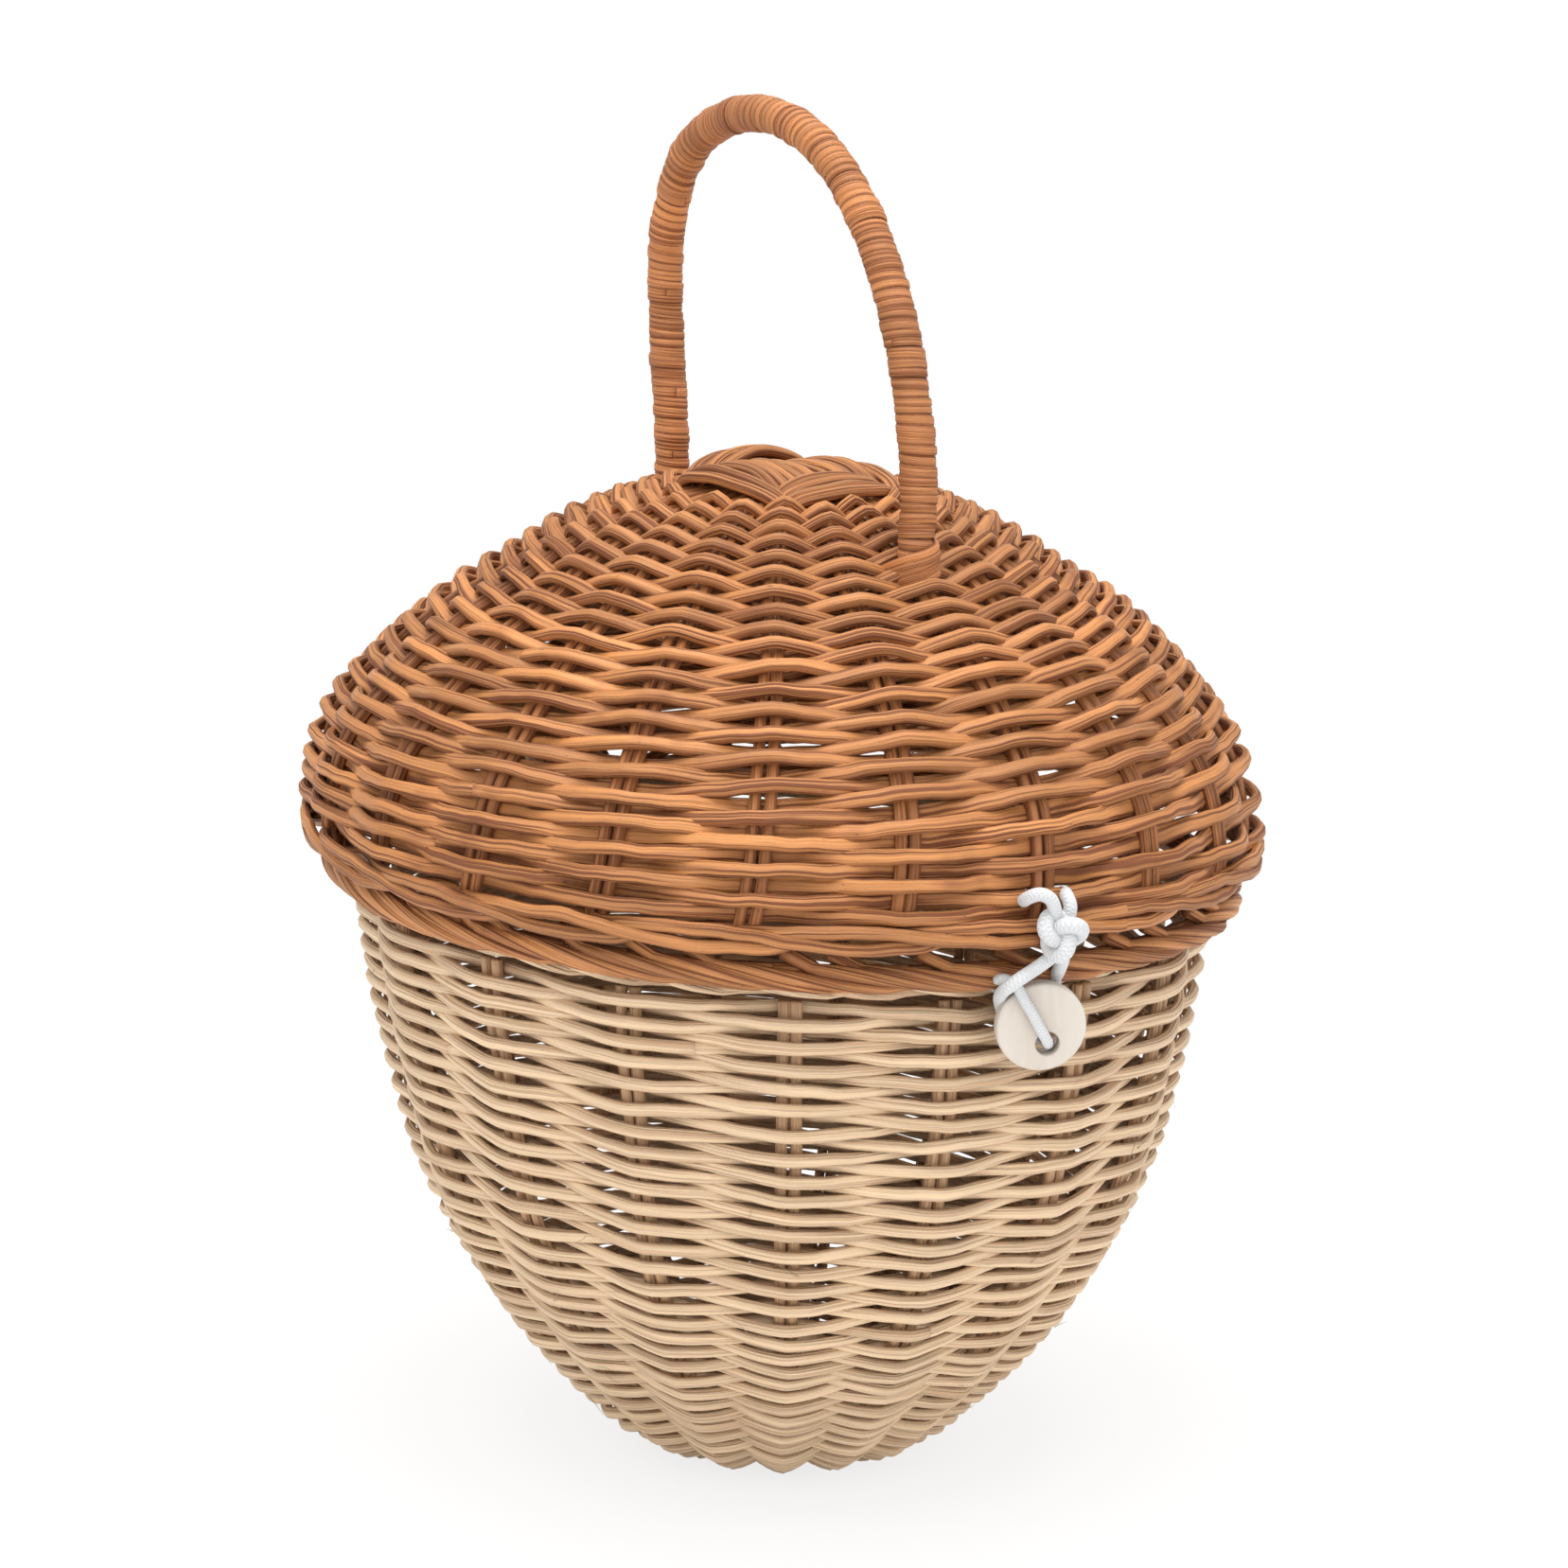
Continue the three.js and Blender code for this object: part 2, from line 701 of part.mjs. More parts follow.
// Hinge ties: cane loops round both borders, loose round the lid's so that it can turn in them
function buildTies() {
  const lid_y = Math.sqrt(lid_border_ring_radius ** 2 - tie_offset ** 2);
  const body_y = Math.sqrt(body_border_ring_radius ** 2 - tie_offset ** 2);
  const lid_inner = lid_border_radius + tie_lid_slack;
  const body_inner = body_border_radius + tie_body_slack;
  const reach = Math.hypot(lid_y - body_y, lid_border_height - body_height);
  const heading = Math.atan2(lid_border_height - body_height, lid_y - body_y);
  [-1, 1].forEach((side) => {
    const outline = loopOutline(reach, body_inner + tie_thickness, lid_inner + tie_thickness);
    const shape = new THREE.Shape(outline);
    shape.holes.push(new THREE.Path(loopOutline(reach, body_inner, lid_inner)));
    const geometry = new THREE.ExtrudeGeometry(shape, { depth: tie_width, bevelEnabled: false });
    geometry.translate(0, 0, -tie_width / 2);
    geometry.rotateZ(heading);
    const to_side_view = new THREE.Matrix4().makeBasis(
      new THREE.Vector3(0, 1, 0),
      new THREE.Vector3(0, 0, 1),
      new THREE.Vector3(1, 0, 0),
    );
    geometry.applyMatrix4(to_side_view);
    geometry.translate(side * tie_offset, body_y, body_height);
    addPiece(basket, side < 0 ? 'hinge_tie_left' : 'hinge_tie_right', closedBody(geometry), natural_cane);
  });
}

function onCircle(centre, radius, angle) {
  return new THREE.Vector2(centre + radius * Math.cos(angle), radius * Math.sin(angle));
}

// An outline round two circles, the first at the origin and the second at a distance along X
function loopOutline(distance, first_radius, second_radius) {
  const lean = Math.asin((second_radius - first_radius) / distance);
  const steps = 7;
  const points = [];
  for (let i = 0; i <= steps; i += 1) {
    const angle = THREE.MathUtils.lerp(-Math.PI / 2 - lean, Math.PI / 2 + lean, i / steps);
    points.push(onCircle(distance, second_radius, angle));
  }
  for (let i = 0; i <= steps; i += 1) {
    const angle = THREE.MathUtils.lerp(Math.PI / 2 + lean, Math.PI * 3 / 2 - lean, i / steps);
    points.push(onCircle(0, first_radius, angle));
  }
  return points;
}

// Elastic: two tails come out of the lid beside its front stake, are knotted, and end in a loop
// that hooks behind the button. Its points are measured from the front of the lid's border.
const knot_centre = [4, -13.6, 8.17];
const loop_route = [
  [4.2, -12.6, 5.07],
  [4.4, -11, 1.97],
  [4, -7.6, -0.63],
  [3.6, -4.5, -3.23],
  [3.3, -1.2, -5.63],
  [3, 2.5, -9.23],
  [3.4, 4.9, -14.43],
  [4, 5.7, -19.43],
  [2.9, 6.1, -22.43],
  [0.4, 6.2, -23.63],
  [-2.8, 5.8, -22.53],
  [-6.6, 4.2, -18.43],
  [-10.6, 1.8, -13.13],
  [-12.9, -2.6, -8.83],
  [-11.5, -7, -5.23],
  [-6.2, -9.6, -1.63],
  [0.2, -11.2, 1.77],
  [2.6, -12.6, 5.07],
];
const tail_routes = [
  [[-6.2, 4, 12.82], [-6.2, -1.6, 12.82], [-6, -8.1, 12.82], [-3.6, -12, 12.17], [1.6, -13.6, 9.57]],
  [[6.2, 4, 12.82], [6.2, -1.6, 12.82], [6.4, -8.1, 12.82], [6.6, -12, 12.17], [5.4, -13.6, 9.57]],
];

function atLidFront([x, y, z]) {
  return [x, y - lid_border_ring_radius, z + lid_border_height];
}

function atBodyFront([x, y, z]) {
  return [x, y - body_border_ring_radius, z + body_height];
}

function curveThrough(route, closed = false) {
  const points = route.map(([x, y, z]) => new THREE.Vector3(x, y, z));
  return new THREE.CatmullRomCurve3(points, closed, 'centripetal');
}

function lump(centre, width, depth, height) {
  const geometry = new THREE.SphereGeometry(1 / 2, 9, 6);
  geometry.rotateX(Math.PI / 2);
  geometry.scale(width, depth, height);
  geometry.translate(centre[0], centre[1], centre[2]);
  return geometry;
}

function stopperKnot(centre) {
  return lump(centre, stopper_knot_diameter, stopper_knot_diameter, stopper_knot_diameter);
}

function buildElastic() {
  const loop = curveThrough(loop_route.map(atLidFront), true);
  let solid = toSolid(cordAlong(loop, elastic_diameter, 36, 6, true));
  solid = solid.add(toSolid(lump(atLidFront(knot_centre), knot_width, knot_depth, knot_height)));
  tail_routes.map((route) => route.map(atLidFront)).forEach((route) => {
    solid = solid.add(toSolid(cordAlong(curveThrough(route), elastic_diameter, 7, 6)));
    solid = solid.add(toSolid(stopperKnot(route[0])));
  });
  addPiece(lid, 'elastic_loop', fromSolid(solid), white_elastic);
}

// Button: a turned wooden disc that leans out at its top, with one hole below its middle
function buildButton() {
  const radius = button_diameter / 2;
  const half = button_thickness / 2;
  const outline = [
    [0, -half],
    [radius - button_edge_round, -half],
    [radius, -half + button_edge_round],
    [radius, half - button_edge_round],
    [radius - button_edge_round, half],
    [0, half],
  ];
  const hole_radius = button_hole_diameter / 2;
  const hole = new THREE.CylinderGeometry(hole_radius, hole_radius, button_thickness * 2, 14);
  hole.rotateX(Math.PI / 2);
  hole.translate(button_hole_side, -button_hole_drop, 0);
  const geometry = fromSolid(toSolid(revolved(outline, 30)).subtract(toSolid(hole)));
  const button = addPiece(basket, 'button', geometry, pale_wood);
  button.rotation.x = Math.PI / 2 + button_lean;
  button.position.set(0, -body_border_ring_radius - button_standoff, body_height - button_drop);
}

// The button's cord runs from inside the rim, over the button's face, through its hole and back
// inside. Its points are measured from the front of the body's border.
const button_cord_route = [
  [-12.6, 9.1, -4.4],
  [-12.5, 3.5, -4.4],
  [-12.2, -1.5, -4.3],
  [-10.2, -5.9, -3.3],
  [-7, -9.8, -2.8],
  [-4.6, -12.2, -5.1],
  [-2.6, -11.7, -8.7],
  [-0.4, -10.4, -13.1],
  [1, -9.5, -16.2],
  [1.6, -7.5, -17.3],
  [1.5, -5.1, -16.8],
  [0.7, -2.9, -15.3],
  [-1, -1.1, -12.5],
  [-2.6, -0.4, -8.7],
  [-3, 0.9, -5.1],
  [-3, 3.5, -4.4],
  [-3, 8.5, -4.4],
];

function buildButtonCord() {
  const route = button_cord_route.map(atBodyFront);
  let solid = toSolid(cordAlong(curveThrough(route), button_cord_diameter, 36, 6));
  [route[0], route[route.length - 1]].forEach((end) => {
    solid = solid.add(toSolid(stopperKnot(end)));
  });
  addPiece(basket, 'button_cord', fromSolid(solid), white_elastic);
}

buildBase();
buildBodyStakes();
buildBodyWeavers();
addPiece(
  basket,
  'body_border',
  borderGeometry(body_border_ring_radius, body_height, body_border_radius),
  natural_cane,
);
buildLidStakes();
buildLidWeavers();
addPiece(
  lid,
  'lid_border',
  borderGeometry(lid_border_ring_radius, lid_border_height, lid_border_radius),
  brown_cane,
);
buildCrown();
buildHandle();
buildTies();
buildElastic();
buildButton();
buildButtonCord();

export default basket;
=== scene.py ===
import math

import bmesh
import bpy
import numpy as np
from bpy.props import FloatProperty, FloatVectorProperty, IntProperty, PointerProperty
from mathutils import Matrix, Vector


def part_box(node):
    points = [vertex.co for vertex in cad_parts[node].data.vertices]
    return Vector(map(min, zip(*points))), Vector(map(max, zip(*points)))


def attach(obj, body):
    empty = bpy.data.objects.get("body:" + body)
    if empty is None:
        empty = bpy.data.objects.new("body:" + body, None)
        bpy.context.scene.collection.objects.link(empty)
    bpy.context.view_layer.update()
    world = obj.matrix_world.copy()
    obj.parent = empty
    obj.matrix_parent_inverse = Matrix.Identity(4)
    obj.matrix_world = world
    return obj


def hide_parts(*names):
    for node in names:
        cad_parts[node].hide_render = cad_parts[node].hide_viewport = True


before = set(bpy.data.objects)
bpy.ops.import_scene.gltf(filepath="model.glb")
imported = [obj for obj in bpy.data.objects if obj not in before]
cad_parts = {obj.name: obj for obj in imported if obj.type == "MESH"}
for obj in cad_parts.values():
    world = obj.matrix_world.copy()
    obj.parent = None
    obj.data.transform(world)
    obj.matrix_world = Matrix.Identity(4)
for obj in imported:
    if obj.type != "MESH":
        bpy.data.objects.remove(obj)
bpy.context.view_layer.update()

bl_info = {
    "name": "Rattan basket looks",
    "version": (1, 0, 0),
    "blender": (4, 5, 0),
    "location": "3D View > Sidebar > Basket",
    "description": "Weaves the canes, borders, handle wrap and clasp over the basket's frame",
    "category": "Add Mesh",
}

MM = 0.001
TURN = 2 * math.pi
FRONT = -math.pi / 2
BACK = math.pi / 2
BODY_STAKES = 17
LID_STAKES = 21

# The photograph is taken from the front left, with this direction across it from left to right
VIEW_AZIMUTH = math.radians(-33)
ACROSS = np.array([math.cos(VIEW_AZIMUTH), math.sin(VIEW_AZIMUTH), 0.0])
TOWARDS = np.array([math.sin(VIEW_AZIMUTH), -math.cos(VIEW_AZIMUTH), 0.0])
NEAR_SIDE = VIEW_AZIMUTH - math.pi / 2


def middle_of(node):
    low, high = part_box(node)
    return (low + high) / 2 / MM


def half_size_of(node):
    low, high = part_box(node)
    return (high - low) / 2 / MM


# Where the two borders lie, read from the frame, in millimetres as all lengths here are
BODY_BORDER_Z = middle_of("body_border").z
BODY_BORDER_TUBE = half_size_of("body_border").z
BODY_BORDER_RADIUS = half_size_of("body_border").y - BODY_BORDER_TUBE
LID_BORDER_Z = middle_of("lid_border").z
LID_BORDER_TUBE = half_size_of("lid_border").z
LID_BORDER_RADIUS = half_size_of("lid_border").y - LID_BORDER_TUBE


# Settings that a user would change

class BasketWeave(bpy.types.PropertyGroup):
    body_row_pitch: FloatProperty(
        name="Body row pitch", description="Distance between rows of the body, in millimetres", default=2.4)
    lid_row_pitch: FloatProperty(
        name="Lid row pitch", description="Distance between rows of the lid, in millimetres", default=2.75)
    body_cane_width: FloatProperty(
        name="Body cane", description="Width of the body's weaving canes, in millimetres", default=2.75)
    lid_cane_width: FloatProperty(
        name="Lid cane", description="Width of the lid's weaving canes, in millimetres", default=3.05)
    weaver_thickness: FloatProperty(
        name="Weaver thickness", description="Thickness of a weaving cane, in millimetres", default=2.35)
    outside_pass: FloatProperty(
        name="Outside pass", description="How far a cane stands out where it passes a stake, in millimetres",
        default=2.85)
    inside_pass: FloatProperty(
        name="Inside pass", description="How far a cane lies in behind a stake, in millimetres",
        default=2.45)
    inside_wider: FloatProperty(
        name="Inside width", description="How much wider a lid's cane is where it passes behind a stake",
        default=0.38)
    stake_width: FloatProperty(
        name="Stake cane", description="Diameter of the canes in a stake, in millimetres", default=2.6)
    row_tilt: FloatProperty(
        name="Row tilt", description="How far the rows fall across the front", subtype="ANGLE",
        default=math.radians(2.6))
    ring_step: FloatProperty(
        name="Ring step", description="Length between two rings of a cane, in millimetres", default=1.5)
    fibres: IntProperty(
        name="Loose fibres", description="Number of loose hairs on the body, and on the lid", default=90,
        min=0)


class BasketHandle(bpy.types.PropertyGroup):
    core_width: FloatProperty(
        name="Core", description="Diameter of the handle's core, in millimetres", default=5.6)
    wrap_width: FloatProperty(
        name="Wrap width", description="Width of the cane that wraps the handle, in millimetres",
        default=2.15)
    wrap_thickness: FloatProperty(
        name="Wrap thickness", description="Thickness of the wrapping cane, in millimetres", default=1.15)


class BasketClasp(bpy.types.PropertyGroup):
    elastic_width: FloatProperty(
        name="Elastic", description="Diameter of the loop's elastic, in millimetres", default=2.8)
    cord_width: FloatProperty(
        name="Button cord", description="Diameter of the button's cord, in millimetres", default=2.3)


class BasketColours(bpy.types.PropertyGroup):
    natural: FloatVectorProperty(
        name="Natural cane", description="Colour of the body's canes", subtype="COLOR", size=3,
        default=(0.70, 0.51, 0.335))
    natural_deep: FloatVectorProperty(
        name="Natural grooves", description="Colour of the grooves in the body's canes",
        subtype="COLOR", size=3, default=(0.45, 0.245, 0.12))
    brown: FloatVectorProperty(
        name="Brown cane", description="Colour of the lid's canes", subtype="COLOR", size=3,
        default=(0.45, 0.183, 0.058))
    brown_deep: FloatVectorProperty(
        name="Brown grooves", description="Colour of the grooves in the lid's canes",
        subtype="COLOR", size=3, default=(0.19, 0.055, 0.014))
    handle: FloatVectorProperty(
        name="Handle cane", description="Colour of the handle's wrap", subtype="COLOR", size=3,
        default=(0.50, 0.19, 0.062))
    handle_deep: FloatVectorProperty(
        name="Handle grooves", description="Colour of the grooves in the handle's wrap",
        subtype="COLOR", size=3, default=(0.25, 0.075, 0.022))
    elastic: FloatVectorProperty(
        name="Elastic", description="Colour of the elastic cord", subtype="COLOR", size=3,
        default=(0.62, 0.635, 0.65))
    button: FloatVectorProperty(
        name="Button", description="Colour of the wooden button", subtype="COLOR", size=3,
        default=(0.60, 0.55, 0.495))


class BasketStage(bpy.types.PropertyGroup):
    azimuth: FloatProperty(
        name="Azimuth", description="Where the camera stands round the basket", subtype="ANGLE",
        default=VIEW_AZIMUTH)
    distance: FloatProperty(
        name="Distance", description="Level distance from the basket's middle to the camera",
        subtype="DISTANCE", default=0.9)
    height: FloatProperty(
        name="Height", description="Height of the camera over the floor", subtype="DISTANCE", default=0.3491)
    pitch: FloatProperty(
        name="Pitch", description="How far the camera looks down", subtype="ANGLE",
        default=math.radians(12.457))
    roll: FloatProperty(
        name="Roll", description="How far the camera is turned about its view", subtype="ANGLE",
        default=math.radians(1.3))
    lens: FloatProperty(
        name="Lens", description="Focal length of the camera, in millimetres", default=96.37)


# Curves and noise

def unit(vectors):
    return vectors / (np.linalg.norm(vectors, axis=-1, keepdims=True) + 1e-12)


def eased(share):
    return share * share * (3 - 2 * share)


def lengths_along(points):
    """The distance of each point along its line."""
    return np.concatenate([[0], np.cumsum(np.linalg.norm(np.diff(points, axis=0), axis=1))])


def read_at(places, run, values):
    """Each column of the values, read at places along their line."""
    return np.stack([np.interp(places, run, column) for column in np.asarray(values).T], axis=1)


def round_axis(radius, azimuth, height):
    """Points, or directions, that stand at an azimuth round the basket's axis."""
    return np.stack([radius * np.cos(azimuth), radius * np.sin(azimuth), height + 0 * azimuth], axis=1)


def turned_by(azimuth, from_azimuth):
    """The angle between two azimuths, from minus half a turn to half a turn."""
    return np.arctan2(np.sin(azimuth - from_azimuth), np.cos(azimuth - from_azimuth))


def far_share(azimuth):
    """0 on the side near the camera and 1 on the far side."""
    return (1 - np.cos(azimuth - NEAR_SIDE)) / 2


def smooth_line(points, step=0.4):
    """Points along a centripetal spline through the given ones, about a step apart."""
    def between(t, start, end, a, b):
        return (end - t) / (end - start) * a + (t - start) / (end - start) * b

    p = np.array(points, float)
    p = np.vstack([2 * p[0] - p[1], p, 2 * p[-1] - p[-2]])
    out = []
    for i in range(1, len(p) - 2):
        a, b, c, d = p[i - 1:i + 3]
        chords = np.linalg.norm(np.diff(p[i - 1:i + 3], axis=0), axis=1)
        t0, t1, t2, t3 = np.concatenate([[0], np.cumsum(np.maximum(chords, 1e-6) ** 0.5)])
        count = max(2, int(chords[1] / step) + 1)
        t = np.linspace(t1, t2, count, endpoint=False)[:, None]
        ab, bc, cd = between(t, t0, t1, a, b), between(t, t1, t2, b, c), between(t, t2, t3, c, d)
        out.append(between(t, t1, t2, between(t, t0, t2, ab, bc), between(t, t1, t3, bc, cd)))
    out.append(p[-2][None, :])
    return np.vstack(out)


def evenly(points, step):
    """The same line with its points a step apart, ends kept."""
    run = lengths_along(points)
    count = max(3, int(round(run[-1] / step)) + 1)
    return read_at(np.linspace(0, run[-1], count), run, points)


def wobble(x, seed):
    """Smooth noise of about -1 to 1 along x, with a wavelength of about 1."""
    random = np.random.default_rng(seed)
    total = np.zeros_like(np.asarray(x, float))
    for share in (0.43, 0.71, 1.0, 1.37, 1.93):
        total += np.sin(TURN * (share * x + random.random())) * random.uniform(0.5, 1)
    return total / 2.4


class Wall:
    """The middle line of a woven wall in its radial plane, measured from its first point."""

    def __init__(self, points):
        line = evenly(smooth_line(points), 0.25)
        self.run = lengths_along(line)
        self.radius, self.height = line.T
        self.along_r, self.along_z = unit(np.gradient(line, self.run, axis=0)).T
        self.length = self.run[-1]

    def place(self, s, azimuth, out, outward):
        """Points beside the wall at distances s along it, and the directions out of it there."""
        s = np.clip(s, 0, self.length)
        line = (self.radius, self.height, self.along_r, self.along_z)
        radius, height, along_r, along_z = (np.interp(s, self.run, values) for values in line)
        norm = np.hypot(along_r, along_z)
        out_r, out_z = along_z / norm * outward, -along_r / norm * outward
        points = round_axis(radius + out_r * out, azimuth, height + out_z * out)
        return points, round_axis(out_r, azimuth, out_z)

    def distance_at(self, height):
        """The distance along the wall at which it reaches a height."""
        order = np.argsort(self.height)
        return float(np.interp(height, self.height[order], self.run[order]))

    def radius_at(self, s):
        return np.interp(s, self.run, self.radius)


# Swept canes

def cane_section(sides, power):
    """The outline of a cane's cut end: round at power 2, and flatter and squarer above it."""
    around = (np.arange(sides) + 0.5) / sides * TURN
    c, s = np.cos(around), np.sin(around)
    return np.sign(c) * np.abs(c) ** (2 / power), np.sign(s) * np.abs(s) ** (2 / power)


def swept_rings(points, normal, width, thickness, sides, power, closed):
    """The rings of a cane's surface, with its width beside the line and its thickness along the normal."""
    if closed:
        tangent = unit(np.roll(points, -1, axis=0) - np.roll(points, 1, axis=0))
    else:
        tangent = unit(np.gradient(points, axis=0))
    normal = np.broadcast_to(np.asarray(normal, float), points.shape)
    normal = unit(normal - (normal * tangent).sum(1)[:, None] * tangent)
    side = np.cross(tangent, normal)
    wide, thick = cane_section(sides, power)
    half_width = np.broadcast_to(np.asarray(width, float) / 2, len(points))
    half_thickness = np.broadcast_to(np.asarray(thickness, float) / 2, len(points))
    return (points[:, None] + side[:, None] * np.outer(half_width, wide)[..., None]
            + normal[:, None] * np.outer(half_thickness, thick)[..., None])


class Canes:
    """Gathers swept canes and turns them into one mesh with a UV map and a tone along each cane."""

    def __init__(self, seed):
        self.verts, self.faces, self.sizes, self.uvs, self.tones = [], [], [], [], []
        self.count = 0
        self.random = np.random.default_rng(seed)

    def add(self, points, normal, width, thickness, sides=8, power=2.3, closed=False):
        """One cane along a line, its ends closed unless it joins itself."""
        p = np.asarray(points, float)
        n = len(p)
        self.verts.append(swept_rings(p, normal, width, thickness, sides, power, closed).reshape(-1, 3))
        spans = n if closed else n - 1
        i = np.arange(spans)[:, None]
        j = np.arange(sides)
        k = (j + 1) % sides
        here, ahead = self.count + i * sides, self.count + (i + 1) % n * sides
        self.faces.append(np.stack([here + j, here + k, ahead + k, ahead + j], axis=-1).reshape(-1))
        self.sizes.append(np.full(spans * sides, 4))
        run = lengths_along(np.vstack([p, p[:1]]) if closed else p) * MM + self.random.random() * 3
        uv = np.empty((spans, sides, 4, 2))
        run_here, run_ahead = run[:spans], run[1:spans + 1]
        uv[..., 0] = np.stack([run_here, run_here, run_ahead, run_ahead], axis=-1)[:, None]
        uv[..., 1] = np.stack([j, j + 1, j + 1, j], axis=-1) / sides
        self.uvs.append(uv.reshape(-1, 2))
        added = n * sides
        if not closed:
            for end, one, other in ((0, k, j), (n - 1, j, k)):
                first = self.count + end * sides
                centre = np.full(sides, self.count + added)
                self.verts.append(p[end][None, :])
                self.faces.append(np.stack([centre, first + one, first + other], axis=-1).reshape(-1))
                self.sizes.append(np.full(sides, 3))
                self.uvs.append(np.tile([run[end], 0.5], (sides * 3, 1)))
                added += 1
        self.tones.append(np.full(added, self.random.random()))
        self.count += added

    def build(self, name, material, body, replaced=(), leaning=True):
        """Makes the finished piece, riding on a body and standing for CAD nodes."""
        verts = np.vstack(self.verts)
        verts = (leaned(verts) if leaning else verts) * MM
        faces = np.concatenate(self.faces).astype(np.int32)
        sizes = np.concatenate(self.sizes).astype(np.int32)
        mesh = bpy.data.meshes.new(name)
        mesh.vertices.add(len(verts))
        mesh.vertices.foreach_set("co", verts.astype(np.float32).ravel())
        mesh.loops.add(len(faces))
        mesh.loops.foreach_set("vertex_index", faces)
        mesh.polygons.add(len(sizes))
        starts = np.concatenate([[0], np.cumsum(sizes)[:-1]]).astype(np.int32)
        mesh.polygons.foreach_set("loop_start", starts)
        mesh.polygons.foreach_set("loop_total", sizes)
        mesh.update(calc_edges=True)
        uv = mesh.uv_layers.new(name="UVMap")
        uv.data.foreach_set("uv", np.vstack(self.uvs).astype(np.float32).ravel())
        tone = mesh.attributes.new("tone", "FLOAT", "POINT")
        tone.data.foreach_set("value", np.concatenate(self.tones).astype(np.float32))
        mesh.polygons.foreach_set("use_smooth", np.ones(len(sizes), bool))
        mesh.validate()
        piece = bpy.data.objects.new(name, mesh)
        bpy.context.scene.collection.objects.link(piece)
        settled(piece, material, body, replaced)


def settled(piece, material, body, replaced):
    """Gives a piece its material, its body and the CAD nodes that it stands for."""
    piece.data.materials.clear()
    piece.data.materials.append(materials()[material])
    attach(piece, body)
    if replaced:
        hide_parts(*replaced)


def numbered(name, last):
    return [f"{name}_{i:02d}" for i in range(1, last + 1)]


# The basket was woven by hand: its axis leans and its rim isn't quite level

AXIS_LEAN = math.tan(math.radians(1.0))
RIM_TILT = math.tan(math.radians(1.5))
TILTED_FROM = 95
TILTED_TO = 200
TILT_FADE = 50


def leaned(points):
    """Moves points to where the lean of the axis and the fall of the rim take them."""
    p = np.array(points, float)
    z = p[:, 2].copy()
    sideways = p @ ACROSS
    rise = eased(np.clip(z / TILTED_FROM, 0, 1) * np.clip((TILTED_TO - z) / TILT_FADE, 0, 1))
    p[:, 2] -= RIM_TILT * sideways * rise
    p += AXIS_LEAN * (LID_BORDER_Z - z)[:, None] * ACROSS
    return p


# Walls of the body and the lid

CROWN_CENTRE = (1.3, -0.8)
CROWN_EDGE = 62
CROWN_FOOT = 64.1
CROWN_RISE = 20.5
CROWN_POWER = 2.3
LID_SWELL = 1.3


def body_wall():
    return Wall([
        (0, 3.9), (10, 3.85), (20, 3.9), (27, 4.6), (33.0, 7.0), (38.5, 10.6), (42.9, 15.3), (53.7, 26.4),
        (67.6, 45.2), (78.9, 68.3), (85.1, 91.9), (89.2, 115.4), (90.1, 126.4)])


def lid_wall():
    side = [(98.9, 2.9), (100.65, 10.1), (99.5, 21.2), (95.4, 33.2), (85.6, 45.6), (73.1, 57.4),
            (CROWN_EDGE, CROWN_FOOT)]
    crown = [(radius, crown_height(radius)) for radius in (50, 38, 26, 14, 5, 0)]
    return Wall([(radius, LID_BORDER_Z + rise) for radius, rise in side] + crown)


def crown_height(radius):
    return LID_BORDER_Z + CROWN_FOOT + CROWN_RISE * (1 - (radius / CROWN_EDGE) ** CROWN_POWER)


def on_crown(x, y, lift):
    """Points over the crown, beside its middle, and directions out of it there."""
    x, y = x + CROWN_CENTRE[0], y + CROWN_CENTRE[1]
    grade = 2 * CROWN_RISE / CROWN_EDGE ** 2
    points = np.stack([x, y, crown_height(np.hypot(x, y)) + lift], axis=1)
    return points, np.stack([grade * x, grade * y, np.ones_like(x)], axis=1)


def drawn_to_centre(points):
    """Moves the crown's middle over to where the real one's lies, less and less towards its edge."""
    moved = points.copy()
    radius = np.hypot(points[:, 0], points[:, 1])
    share = eased(np.clip(1 - radius / (CROWN_EDGE - 4), 0, 1))
    moved[:, :2] += share[:, None] * CROWN_CENTRE
    moved_radius = np.hypot(moved[:, 0], moved[:, 1])
    rise = crown_height(np.minimum(moved_radius, CROWN_EDGE)) - crown_height(np.minimum(radius, CROWN_EDGE))
    moved[:, 2] += rise * (share > 0)
    return moved


def lid_swell(s):
    """How far the lid's weave stands out from its wall, most at the rim."""
    return LID_SWELL * np.interp(s, [0, 28, 62], [1, 0.9, -0.1])


# Weaving

# Slow waves that neighbouring rows share: turns round the basket, change with distance and size
ROW_WAVES = ((2, 0.035, 0.5), (3, 0.05, 0.4), (5, 0.07, 0.32), (8, 0.11, 0.2), (13, 0.16, 0.14))
TIGHTEST_TURN = 6.0
RINGS_PER_STAKE = 4.5
PARTING = 1.3
PARTING_REACH = 5.0
CANE_LENGTHS = (700, 1500)


def row_waves(azimuth, s, seed):
    """How far a row lies off its level place."""
    random = np.random.default_rng(seed)
    total = np.zeros_like(azimuth)
    for turns, rate, size in ROW_WAVES:
        total += size * np.sin(turns * azimuth + rate * s * TURN * 0.6 + random.uniform(0, 6.3))
    return total


def over_under(k, roundness=0.45):
    """+1 where a cane passes one side of a stake and -1 at the next, nearly straight between."""
    straight = 2 * np.abs(np.mod(k, 2) - 1) - 1
    return (1 - roundness) * straight + roundness * np.cos(math.pi * k)


